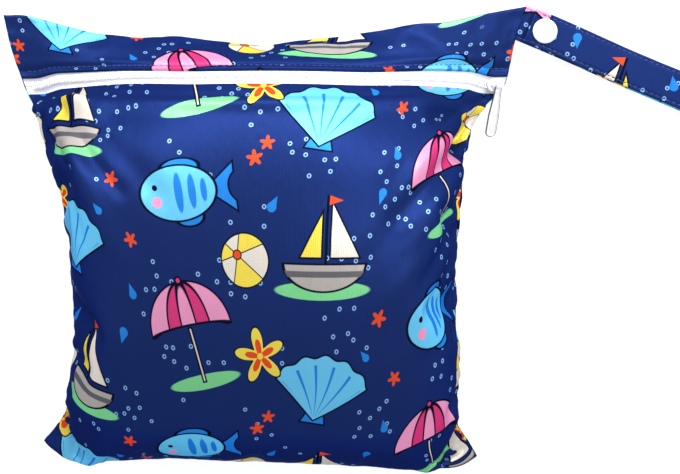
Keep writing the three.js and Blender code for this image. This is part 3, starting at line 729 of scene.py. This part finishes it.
def smoothLine(points, steps):  # a centripetal spline through the points, at even steps
    points = np.array(points, float)
    points = np.concatenate([[2 * points[0] - points[1]], points, [2 * points[-1] - points[-2]]])
    line = []
    for p0, p1, p2, p3 in zip(points, points[1:], points[2:], points[3:]):
        d0, d1, d2 = (np.linalg.norm(b - a) ** 0.5 for a, b in ((p0, p1), (p1, p2), (p2, p3)))
        slopeA = ((p1 - p0) / d0 - (p2 - p0) / (d0 + d1) + (p2 - p1) / d1) * d1
        slopeB = ((p2 - p1) / d1 - (p3 - p1) / (d1 + d2) + (p3 - p2) / d2) * d1
        for t in np.linspace(0, 1, strap["fine"], endpoint=False):
            line.append(hermite(p1, p2 - p1, slopeA, slopeB, t))
    line = np.array(line + [points[-2]])
    run = runAlong(line)
    even = np.linspace(0, run[-1], steps + 1)
    return readLine(even, run, line), even


heading = math.radians(strap["heading"])
strapAlong = np.array([math.cos(heading), math.sin(heading), 0])
strapAcross = np.array([-math.sin(heading), math.cos(heading), 0])
strapRoot = np.array([strap["rootX"], strap["rootY"], 0])
strapPath, strapRun = smoothLine(strapLine, strap["steps"])


def strapPlace(path, across, off):  # points of the strap: on its line, across it and off its middle face
    ahead = unit(np.gradient(path, axis=0))
    lift = np.stack([-ahead[:, 1], ahead[:, 0]], -1)
    line = path[:, None] + lift[:, None] * off[..., None]
    return (strapRoot + line[..., :1] * strapAlong + across[..., None] * strapAcross
            + line[..., 1:] * np.array([0, 0, 1.0]))


def makeStrap():
    half, thick = strap["width"] / 2, strap["thickness"] / 2
    shares = np.sin(np.linspace(-1, 1, strap["columns"]) * math.pi / 2)
    fromStitch = half - np.abs(shares) * half - strap["stitchIn"]
    stitched = np.exp(-(fromStitch / strap["grooveWide"]) ** 2)
    bulge = thick * (1 - np.abs(shares) ** 14) ** 0.5 - strap["groove"] * stitched
    ends = np.minimum(strapRun, strapRun[-1] - strapRun)
    closed = np.sqrt(1 - np.clip(1 - ends / strap["endRoll"], 0, 1) ** 2)[:, None]
    wave = waver(strapRun / strap["rippleLength"], 8)
    ripple = strap["ripple"] * wave[:, None] * np.abs(shares)[None, :] ** 3
    across = np.broadcast_to(shares * half, (len(strapRun), len(shares)))
    top = strapPlace(strapPath, across, bulge * closed + ripple)
    low = strapPlace(strapPath, across, -bulge * closed + ripple - 1e-3)
    for grid in (top, low):
        grid[..., 2] = np.maximum(grid[..., 2], strap["floorGap"])
    printX, printY = strap["printFrom"]
    flat = np.stack(np.broadcast_arrays(strapRun[:, None] + printX, across + printY, 0.0), -1)
    return addWall("strap_band", top, low, flat, flip=True)


strapBand = makeStrap()

# snap cap: a low dome with a rim and a shallow ring pressed into it, on a short post
snap = {"radius": 6.8, "height": 2.0, "rim": 0.6, "play": 0.3, "ring": 3.6, "ringWide": 0.5,
        "ringDepth": 0.16, "post": 1.6, "postDeep": 1.2, "sides": 72, "rings": 26}


def makeSnap():
    base = strapLine[-3][1] + strap["thickness"] / 2 + snap["play"]  # on the strap's returning layer
    radius, rim, post = snap["radius"], snap["rim"], snap["post"]
    profile = [(post, -snap["postDeep"]), (post, 0), (radius - 0.35, 0), (radius - 0.1, 0.1), (radius, 0.35),
               (radius, rim)]
    for t in np.linspace(0.08, 1, snap["rings"]):
        r = radius * math.cos(t * math.pi / 2) ** 0.8
        z = rim + (snap["height"] - rim) * math.sin(t * math.pi / 2) ** 0.9
        dent = snap["ringDepth"] * math.exp(-((r - snap["ring"]) / snap["ringWide"]) ** 2)
        profile.append((max(r, 0.02), z - dent))
    turns = np.linspace(0, 2 * math.pi, snap["sides"], endpoint=False)
    points = np.array([(r * math.cos(a), r * math.sin(a), z) for r, z in profile for a in turns])
    centre = strapRoot + strapAlong * strap["snapAt"] + np.array([0, 0, base])
    return addMesh("snap_cap_dome", points + centre, ringFaces(len(profile), snap["sides"]), sharp=60)


snapDome = makeSnap()
print("strap and snap made, strap", round(strapRun[-1]), "mm long")

# stitches: short bent threads sunk a little into the cloth
stitch = {"length": 2.5, "pitch": 3.3, "radius": 0.3, "sides": 6, "sink": 0.05, "samples": 900}
# along one stitch: share of its length, bow out of the cloth in mm, and thickness
stitchShares = np.array([0, 0.12, 0.5, 0.88, 1.0])
stitchBow = np.array([-0.3, -0.02, 0.1, -0.02, -0.3])
stitchThick = np.array([0.5, 0.95, 1, 0.95, 0.5])


def addStitches(pile, line, normals):
    run = runAlong(line)
    for start in np.arange(stitch["pitch"], run[-1] - stitch["pitch"], stitch["pitch"]):
        where = start + stitchShares * stitch["length"]
        out = unit(readLine(where, run, normals))
        path = readLine(where, run, line) + out * (stitchBow - stitch["sink"])[:, None]
        pile.add(*tube(path, stitchThick * stitch["radius"], stitch["sides"], out))


def clothLine(row, offset):
    shares = np.linspace(-probe["reach"], probe["reach"], stitch["samples"])
    place, normal = readCloth("front", shares, np.array([row]))
    return place[0] + normal[0] * offset, normal[0]


def makeBagStitches():
    pile = Pile()
    for flange, side in ((lowerFlange, -1), (upperFlange, 1)):
        at = flange["stitchAt"]
        row = flange["edge"] + side * at / cut["height"]
        addStitches(pile, *clothLine(row, flangeHeight(np.array(at), flange)))
    return pile.make("zip_stitches")


def makeStrapStitches():
    pile = Pile()
    half, thick = strap["width"] / 2, strap["thickness"] / 2
    for side in (1, -1):
        for face in (1, -1):
            across = np.full((len(strapRun), 1), side * (half - strap["stitchIn"]))
            line, outward = (
                strapPlace(strapPath, across, np.full(across.shape, face * off))[:, 0]
                for off in (thick - strap["groove"], thick)
            )
            keep = line[:, 2] > strap["stitchClear"]
            addStitches(pile, line[keep], unit(outward - line)[keep])
    return pile.make("strap_stitches")


bagStitches = makeBagStitches()
strapStitches = makeStrapStitches()
print("stitches made")

# inks of the print, as they look in even light
inks = {"navy": (30, 49, 107), "sky": (112, 205, 246), "blue": (44, 134, 224), "mint": (132, 220, 150),
        "pink": (244, 160, 200), "magenta": (224, 66, 128), "cream": (236, 227, 214), "grey": (184, 176, 170),
        "slate": (104, 104, 108), "yellow": (250, 226, 88), "orange": (238, 84, 46), "line": (17, 20, 40),
        "pale": (150, 198, 246)}
repeat = {"width": 150, "height": 138, "soft": 0.32, "line": 0.5, "tone": 0.8}


def linear(rgb, tone=1.0):
    share = np.array(rgb) / 255
    value = np.where(share <= 0.04045, share / 12.92, ((share + 0.055) / 1.055) ** 2.4) * tone
    return (*value.tolist(), 1.0)


def addMix(tree, share, under, over):  # a colour laid over another by a share
    node = tree.nodes.new("ShaderNodeMix")
    node.data_type = "RGBA"
    tree.links.new(share, node.inputs[0])
    tree.links.new(under, node.inputs[6])
    node.inputs[7].default_value = over
    return node.outputs[2]


class PrintPen:  # draws flat shapes with shader nodes; a shape is a distance that is below 0 inside it
    def __init__(self, tree, flat):
        self.tree, self.flat, self.colour = tree, flat, None

    def feed(self, inputs, values):
        for socket, value in zip(inputs, values):
            if isinstance(value, bpy.types.NodeSocket):
                self.tree.links.new(value, socket)
            else:
                socket.default_value = value

    def number(self, operation, *values, clamp=False):
        node = self.tree.nodes.new("ShaderNodeMath")
        node.operation, node.use_clamp = operation, clamp
        self.feed(node.inputs, values)
        return node.outputs[0]

    def vector(self, operation, *values):
        node = self.tree.nodes.new("ShaderNodeVectorMath")
        node.operation = operation
        self.feed(node.inputs, values)
        return node.outputs["Value" if operation in ("LENGTH", "DISTANCE", "DOT_PRODUCT") else "Vector"]

    def parts(self, vector):
        node = self.tree.nodes.new("ShaderNodeSeparateXYZ")
        self.tree.links.new(vector, node.inputs[0])
        return node.outputs[0], node.outputs[1]

    def disc(self, p, x, y, radius):
        return self.number("SUBTRACT", self.vector("DISTANCE", p, (x, y, 0)), radius)

    def oval(self, p, x, y, radiusX, radiusY):
        scale, shift = (1 / radiusX, 1 / radiusY, 0), (-x / radiusX, -y / radiusY, 0)
        scaled = self.vector("MULTIPLY_ADD", p, scale, shift)
        near = min(radiusX, radiusY)
        return self.number("MULTIPLY_ADD", self.vector("LENGTH", scaled), near, -near)

    def halfPlane(self, p, x, y, reach):
        return self.number("SUBTRACT", self.vector("DOT_PRODUCT", p, (x, y, 0)), reach)

    def polygon(self, p, corners):  # corners run anticlockwise
        sides = []
        for (ax, ay), (bx, by) in zip(corners, corners[1:] + corners[:1]):
            length = math.hypot(bx - ax, by - ay)
            nx, ny = (by - ay) / length, (ax - bx) / length
            sides.append(self.halfPlane(p, nx, ny, nx * ax + ny * ay))
        return self.overlap(*sides)

    def join(self, first, *others):
        for other in others:
            first = self.number("MINIMUM", first, other)
        return first

    def overlap(self, first, *others):
        for other in others:
            first = self.number("MAXIMUM", first, other)
        return first

    def without(self, shape, hole):
        return self.number("MAXIMUM", shape, self.number("MULTIPLY", hole, -1.0))

    def polar(self, p, x, y):  # distance and angle round a point
        off = self.vector("SUBTRACT", p, (x, y, 0))
        offX, offY = self.parts(off)
        return self.vector("LENGTH", off), self.number("ARCTAN2", offX, offY)

    def star(self, p, middle, arms):  # five rounded arms
        distance, angle = self.polar(p, 0, 0)
        wave = self.number("COSINE", self.number("MULTIPLY", angle, 5.0))
        return self.number("SUBTRACT", distance, self.number("MULTIPLY_ADD", wave, arms, middle))

    def lay(self, share, ink):
        self.colour = addMix(self.tree, share, self.colour, linear(inks[ink], repeat["tone"]))

    def paint(self, shape, ink, line=None):
        soft = repeat["soft"]
        self.lay(self.number("MULTIPLY_ADD", shape, -1 / soft, 0.5, clamp=True), ink)
        if line:
            away = self.number("ABSOLUTE", shape)
            self.lay(self.number("MULTIPLY_ADD", away, -1 / soft, line / soft + 0.5, clamp=True), "line")

    def spot(self, x, y, turn=0.0, size=1.0):  # coordinates round the nearest copy of a half-drop repeat
        wide, high = repeat["width"], repeat["height"]
        offX, offY = self.parts(self.vector("SUBTRACT", self.flat, (x, y, 0)))
        step = self.number("ROUND", self.number("DIVIDE", offX, wide))
        offX = self.number("MULTIPLY_ADD", step, -wide, offX)
        offY = self.number("MULTIPLY_ADD", step, high / 2, offY)
        drop = self.number("ROUND", self.number("DIVIDE", offY, high))
        offY = self.number("MULTIPLY_ADD", drop, -high, offY)
        node = self.tree.nodes.new("ShaderNodeMapping")
        node.vector_type = "TEXTURE"
        node.inputs["Rotation"].default_value = (0, 0, math.radians(turn))
        node.inputs["Scale"].default_value = (size, abs(size), 1)
        together = self.tree.nodes.new("ShaderNodeCombineXYZ")
        self.feed(together.inputs, (offX, offY))
        self.tree.links.new(together.outputs[0], node.inputs["Vector"])
        return node.outputs[0]


def drawFish(pen, p):
    line = repeat["line"]
    tail = pen.without(pen.polygon(p, [(12, 0), (28, -13), (28, 13)]), pen.disc(p, 34, 0, 9.5))
    fins = pen.join(pen.oval(p, -1, 13, 11, 5), pen.oval(p, 1, -13, 8, 4.5))
    pen.paint(pen.join(tail, fins), "blue", line)
    pen.paint(pen.oval(p, -4, 0, 22, 14.5), "sky", line)
    stripes = pen.join(pen.oval(p, -3, 0, 2.3, 10.5), pen.oval(p, 4.5, 0, 2.1, 9), pen.oval(p, 11, 0, 1.7, 6))
    pen.paint(stripes, "blue")
    pen.paint(pen.disc(p, -16.5, -4.2, 3), "pink")
    pen.paint(pen.disc(p, -16.8, 3.6, 1.6), "line")


def drawBoat(pen, p):
    line = repeat["line"]
    pen.paint(pen.oval(p, 0, -20.5, 28, 4.6), "mint")
    hull = pen.overlap(pen.oval(p, 0, -7.5, 24, 13.5), pen.halfPlane(p, 0, 1, -7.5))
    pen.paint(hull, "grey", line)
    pen.paint(pen.overlap(hull, pen.halfPlane(p, 0, 1, -11), pen.halfPlane(p, 0, -1, 14)), "slate")
    pen.paint(pen.polygon(p, [(-0.8, -7.5), (0.8, -7.5), (0.8, 27), (-0.8, 27)]), "line")
    pen.paint(pen.polygon(p, [(2.4, -4.5), (20, -4.5), (2.4, 24)]), "cream", line)
    pen.paint(pen.polygon(p, [(-2.4, -4.5), (-2.4, 19), (-15, -4.5)]), "yellow", line)
    pen.paint(pen.polygon(p, [(0.8, 22), (8.5, 24.5), (0.8, 27)]), "orange")


def drawUmbrella(pen, p):
    line = repeat["line"]
    pen.paint(pen.oval(p, 0, -27, 22, 4.2), "mint")
    pen.paint(pen.polygon(p, [(-0.9, -27), (0.9, -27), (0.9, 2), (-0.9, 2)]), "cream", line)
    half = pen.overlap(pen.disc(p, 0, 0, 25), pen.halfPlane(p, 0, -1, 0))
    canopy = pen.without(half, pen.oval(p, 0, -1, 25, 4.5))
    pen.paint(canopy, "pink", line)
    pen.paint(pen.overlap(canopy, pen.oval(p, 0, 0, 12.8, 25)), "magenta", line)
    pen.paint(pen.overlap(canopy, pen.oval(p, 0, 0, 4.6, 25)), "pink", line)
    pen.paint(pen.disc(p, 0, 25.6, 1.7), "magenta", line)


def drawShell(pen, p):
    line = repeat["line"]
    distance, angle = pen.polar(p, 0, -17)
    rib = pen.number("COSINE", pen.number("MULTIPLY", angle, 17.0))
    fan = pen.number("SUBTRACT", distance, pen.number("MULTIPLY_ADD", rib, 0.9, 35.0))
    fan = pen.overlap(fan, pen.halfPlane(p, 0.6, -0.8, 14.6), pen.halfPlane(p, -0.6, -0.8, 14.6))
    foot = pen.polygon(p, [(-8, -20), (8, -20), (5, -12), (-5, -12)])
    pen.paint(foot, "blue", line)
    pen.paint(fan, "sky", line)
    groove = pen.number("MULTIPLY_ADD", rib, 4.0, 3.5)
    inner = pen.overlap(groove, pen.number("SUBTRACT", distance, 30.5), pen.number("ADD", fan, 1.6))
    pen.paint(inner, "blue")


def drawBall(pen, p):
    line = repeat["line"]
    ball = pen.disc(p, 0, 0, 15)
    pen.paint(ball, "cream", line)
    distance, angle = pen.polar(p, -3.5, 4.5)
    wave = pen.number("COSINE", pen.number("MULTIPLY", angle, 3.0))
    sector = pen.number("MULTIPLY", pen.number("MULTIPLY", wave, distance), 0.35)
    pen.paint(pen.overlap(ball, sector), "yellow", line * 0.7)
    pen.paint(pen.disc(p, -3.5, 4.5, 2.6), "orange", line * 0.7)


def drawStarfish(pen, p):
    pen.paint(pen.star(p, 10.5, 5.2), "yellow", repeat["line"])
    pen.paint(pen.star(p, 5.6, 3.6), "orange")
    pen.paint(pen.disc(p, 0, 0, 1.8), "yellow")


def drawSmallStar(pen, p):
    pen.paint(pen.star(p, 3.2, 1.3), "orange")


def drawDrop(pen, p):
    pen.paint(pen.join(pen.disc(p, 0, -1, 2.5), pen.polygon(p, [(-2.2, 0), (2.2, 0), (0, 5.2)])), "blue")


# where each motif lies in the repeat: x, y, turn and size
layout = [
    (drawFish, -37, 34, 8, 0.98),
    (drawBoat, 38, 6, -4, 0.96),
    (drawUmbrella, -38, -33, 14, 0.96),
    (drawShell, 36, -63, -10, 0.98),
    (drawBall, -6, 2, 20, 0.85),
    (drawStarfish, 1, -44, 10, 0.95),
    (drawSmallStar, 0, 52, 10, 1.0),
    (drawSmallStar, 70, -30, -25, 1.0),
    (drawSmallStar, -70, 8, 30, 0.9),
    (drawSmallStar, 6, -78, 0, 0.9),
    (drawDrop, 10, 28, -30, 1.0),
    (drawDrop, -72, -18, 20, 0.9),
    (drawDrop, 70, 30, 160, 1.0),
    (drawDrop, 62, -48, 40, 0.8),
]


def newMaterial(name):
    material = bpy.data.materials.new(name)
    material.use_nodes = True
    tree = material.node_tree
    return material, tree, tree.nodes["Principled BSDF"]


def setInputs(node, values):  # input sockets by their names
    for name, value in values.items():
        node.inputs[name].default_value = value


def addNode(tree, kind, **values):
    node = tree.nodes.new(kind)
    setInputs(node, values)
    return node


def objectPlace(tree):
    return tree.nodes.new("ShaderNodeTexCoord").outputs["Object"]


def attribute(tree, name, output):
    node = tree.nodes.new("ShaderNodeAttribute")
    node.attribute_name = name
    return node.outputs[output]


def addNoise(tree, place, scale, detail=2.0, stretch=(1, 1, 1)):
    pen = PrintPen(tree, place)
    noise = addNode(tree, "ShaderNodeTexNoise", Scale=scale, Detail=detail, Roughness=0.5)
    tree.links.new(pen.vector("MULTIPLY", place, stretch), noise.inputs["Vector"])
    return noise.outputs[0]


def addRamp(tree, share, dark, light, span=(0, 1)):  # a tone between two by a share
    ramp = tree.nodes.new("ShaderNodeValToRGB")
    for end, place, tone in zip(ramp.color_ramp.elements, span, (dark, light)):
        end.position = place
        end.color = linear(tone)
    tree.links.new(share, ramp.inputs[0])
    return ramp.outputs[0]


def addBump(tree, surface, height, distance, strength):
    bump = addNode(tree, "ShaderNodeBump", Distance=distance, Strength=strength)
    tree.links.new(height, bump.inputs["Height"])
    tree.links.new(bump.outputs[0], surface.inputs["Normal"])


# knit: ribs and courses in mm, relief in metres; satin is how far threads shine in their own colour
knit = {"roughness": 0.38, "glossSpread": 0.12, "specular": 0.0, "satin": 0.5, "edgeTint": (40, 64, 140),
        "ribWide": 0.95, "courseHigh": 0.7, "relief": 0.0001, "bump": 0.2, "streak": 0.045, "cloudy": 0.12}
# pale rings scattered on the ground, in mm, and thinned out in patches
bubbles = {"cell": 8.5, "scatter": 0.72, "radius": 0.9, "ring": 0.28, "patch": 34, "sharp": 60.0,
           "fill": 33.0}


def paintBubbles(pen):
    cells = addNode(pen.tree, "ShaderNodeTexVoronoi", Scale=1 / bubbles["cell"],
                    Randomness=bubbles["scatter"])
    cells.voronoi_dimensions = "2D"
    pen.tree.links.new(pen.flat, cells.inputs["Vector"])
    away = pen.number("MULTIPLY", cells.outputs["Distance"], bubbles["cell"])
    offRing = pen.number("ABSOLUTE", pen.number("SUBTRACT", away, bubbles["radius"]))
    ring = pen.number("SUBTRACT", offRing, bubbles["ring"])
    patches = addNoise(pen.tree, cells.outputs["Position"], 1 / bubbles["patch"], 1.0)
    sparse = pen.number("MULTIPLY_ADD", patches, -bubbles["sharp"], bubbles["fill"])
    pen.paint(pen.overlap(ring, sparse), "pale")


def clothMaterial():
    material, tree, surface = newMaterial("printed_knit")
    flat = attribute(tree, "flat", "Vector")
    pen = PrintPen(tree, flat)
    ground = tree.nodes.new("ShaderNodeRGB")
    ground.outputs[0].default_value = linear(inks["navy"], repeat["tone"])
    pen.colour = ground.outputs[0]
    paintBubbles(pen)
    for draw, x, y, turn, size in layout:
        draw(pen, pen.spot(x, y, turn, size))
    # knit ribs run up the cloth and show as fine uneven streaks
    streaks = addNoise(tree, flat, 1.0, 1.0, (1.1, 0.05, 1))
    cloudy = addNoise(tree, flat, 1 / 16, 3.0)
    tone = pen.number("MULTIPLY_ADD", streaks, knit["streak"] * 2, 1 - knit["streak"])
    clouds = pen.number("MULTIPLY_ADD", cloudy, knit["cloudy"], 1 - knit["cloudy"] / 2)
    tint = tree.nodes.new("ShaderNodeVectorMath")
    tint.operation = "SCALE"
    tree.links.new(pen.colour, tint.inputs[0])
    tree.links.new(pen.number("MULTIPLY", tone, clouds), tint.inputs["Scale"])
    tree.links.new(tint.outputs[0], surface.inputs["Base Color"])
    spreadLow = knit["roughness"] - knit["glossSpread"] / 2
    gloss = pen.number("MULTIPLY_ADD", streaks, knit["glossSpread"], spreadLow)
    tree.links.new(gloss, surface.inputs["Roughness"])
    x, y = pen.parts(flat)
    ribs = pen.number("SINE", pen.number("MULTIPLY", x, 2 * math.pi / knit["ribWide"]))
    courses = pen.number("SINE", pen.number("MULTIPLY", y, 2 * math.pi / knit["courseHigh"]))
    relief = pen.number("MULTIPLY_ADD", courses, 0.25, pen.number("MULTIPLY_ADD", streaks, 1.2, ribs))
    addBump(tree, surface, relief, knit["relief"], knit["bump"])
    setInputs(surface, {"Specular IOR Level": knit["specular"], "Metallic": knit["satin"],
                        "Specular Tint": linear(knit["edgeTint"])})
    return material


# white parts: how far tone and gloss vary, relief in metres, and the grey painted round the pull's edge as
# shade of its rim
white = {"dark": 0.975, "span": (0.3, 0.7), "glossSpread": 0.16, "relief": 0.00003, "weaveRelief": 0.0001,
         "bump": 0.4, "bareEdge": (92, 94, 100)}


def whiteMaterial(name, colour, roughness, grain, coat=0.0, weave=0.0):
    material, tree, surface = newMaterial(name)
    place = objectPlace(tree)
    mottle = addNoise(tree, place, grain, 3.0)
    tone = addRamp(tree, mottle, [c * white["dark"] for c in colour], colour, white["span"])
    # a grey band of painted shade is laid where the edge mask is set, round the pull's rim
    mixed = addMix(tree, attribute(tree, "edge", "Fac"), tone, linear(white["bareEdge"]))
    tree.links.new(mixed, surface.inputs["Base Color"])
    pen = PrintPen(tree, place)
    gloss = pen.number("MULTIPLY_ADD", mottle, white["glossSpread"], roughness - white["glossSpread"] / 2)
    tree.links.new(gloss, surface.inputs["Roughness"])
    relief, depth = mottle, white["relief"]
    if weave:
        x, y = pen.parts(attribute(tree, "flat", "Vector"))
        twill, cross = (
            pen.number("SINE", pen.number("MULTIPLY", pen.number(way, x, y), 2 * math.pi / weave))
            for way in ("ADD", "SUBTRACT")
        )
        relief, depth = pen.number("MULTIPLY", twill, cross), white["weaveRelief"]
    addBump(tree, surface, relief, depth, white["bump"])
    setInputs(surface, {"Coat Weight": coat})
    return material


threadLook = {"dark": (30, 42, 92), "light": (60, 75, 134), "grain": 2600.0, "relief": 0.0001, "bump": 0.5,
              "roughness": 0.45}


def threadMaterial():
    material, tree, surface = newMaterial("navy_thread")
    fibre = addNoise(tree, objectPlace(tree), threadLook["grain"], 1.0)
    tone = addRamp(tree, fibre, threadLook["dark"], threadLook["light"])
    tree.links.new(tone, surface.inputs["Base Color"])
    addBump(tree, surface, fibre, threadLook["relief"], threadLook["bump"])
    setInputs(surface, {"Roughness": threadLook["roughness"]})
    return material


printedKnit = clothMaterial()
tapeWeave = whiteMaterial("white_tape", (250, 250, 252), 0.7, 900.0, weave=0.9)
coilNylon = whiteMaterial("white_nylon", (252, 252, 253), 0.4, 500.0)
enamel = whiteMaterial("white_enamel", (253, 253, 254), 0.28, 350.0, coat=0.4)
snapResin = whiteMaterial("white_resin", (250, 250, 250), 0.32, 250.0)
thread = threadMaterial()
print("materials made,", len(printedKnit.node_tree.nodes), "nodes in the print")

# each look takes its finish, its CAD node and the body it moves with
looks = [
    (frontCloth, printedKnit, "printed_cloth", "bag", ["front_panel"]),
    (topCloth, printedKnit, "printed_cloth", "bag", ["top_panel"]),
    (backCloth, printedKnit, "printed_cloth", "bag", ["back_panel"]),
    (lowerTape, tapeWeave, "zip_tape", "bag", ["zip_tape_lower"]),
    (upperTape, tapeWeave, "zip_tape", "bag", ["zip_tape_upper"]),
    (zipCoil, coilNylon, "zip_coil", "bag", ["zip_chain"]),
    (sliderBody, enamel, "slider_enamel", "bag", ["zip_slider"]),
    (pullTab, enamel, "slider_enamel", "pull", ["zip_pull"]),
    (strapBand, printedKnit, "printed_cloth", "bag", ["strap"]),
    (snapDome, snapResin, "snap_plastic", "bag", ["snap_cap"]),
    (bagStitches, thread, "printed_cloth", "bag", []),
    (strapStitches, thread, "printed_cloth", "bag", []),
]
for piece, material, slotName, body, nodes in looks:
    piece.data.materials.append(material)
    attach(piece, body)
    if nodes:
        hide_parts(*nodes)
for name in ("snap_socket", "snap_under_cap"):
    node = frame["nodes"][name]
    node.data.materials.clear()
    node.data.materials.append(snapResin)

print("pieces ride on the frame")

# floor, light and the camera straight overhead
studio = {"floor": (150, 151, 154), "floorGlow": 0.82, "floorHalf": 4.0, "floorDrop": 0.0003, "sky": 0.85,
          "skyTint": (0.94, 0.96, 1.0, 1), "aim": (0.02, 0.0, 0.05), "keyPower": 9.7,
          "keyAt": (0.04, 0.66, 0.36), "keyWide": 1.6, "keyHigh": 0.2, "fillPower": 1.7,
          "fillAt": (0.48, 0.25, 0.68), "fillSize": 0.3}
view = {"at": (0.0414, 0.014, 0.9), "lens": 85.1, "sensor": 36.0}


def addLight(name, place, power, wide, high):
    lamp = bpy.data.lights.new(name, "AREA")
    lamp.shape = "RECTANGLE"
    lamp.energy, lamp.size, lamp.size_y = power, wide, high
    holder = addObject(name, lamp)
    holder.location = place
    holder.rotation_euler = (Vector(studio["aim"]) - Vector(place)).to_track_quat("-Z", "Y").to_euler()


def floorMaterial():
    material, tree, surface = newMaterial("pale_floor")
    mottle = addNoise(tree, objectPlace(tree), 4.0, 3.0)
    tone = addRamp(tree, mottle, [c - 3 for c in studio["floor"]], studio["floor"])
    tree.links.new(tone, surface.inputs["Base Color"])
    setInputs(surface, {"Roughness": 0.8, "Emission Color": (1, 1, 1, 1),
                        "Emission Strength": studio["floorGlow"]})
    return material


def makeStudio():
    half, low = studio["floorHalf"], -studio["floorDrop"]
    mesh = bpy.data.meshes.new("floor")
    mesh.from_pydata([(*corner, low) for corner in rectangle(-half, half, -half, half)], [], [(0, 1, 2, 3)])
    mesh.materials.append(floorMaterial())
    floor = addObject("floor", mesh)
    scene = bpy.context.scene
    scene.world = bpy.data.worlds.new("soft_room")
    scene.world.use_nodes = True
    background = scene.world.node_tree.nodes["Background"]
    setInputs(background, {"Color": studio["skyTint"], "Strength": studio["sky"]})
    addLight("key", studio["keyAt"], studio["keyPower"], studio["keyWide"], studio["keyHigh"])
    addLight("fill", studio["fillAt"], studio["fillPower"], studio["fillSize"], studio["fillSize"])
    lens = bpy.data.cameras.new("overhead")
    lens.lens, lens.sensor_width, lens.sensor_fit = view["lens"], view["sensor"], "HORIZONTAL"
    lens.clip_start, lens.clip_end = 0.01, 20
    scene.camera = addObject("overhead", lens)
    scene.camera.location = view["at"]
    scene.view_settings.view_transform = "Standard"


makeStudio()
print("studio ready")
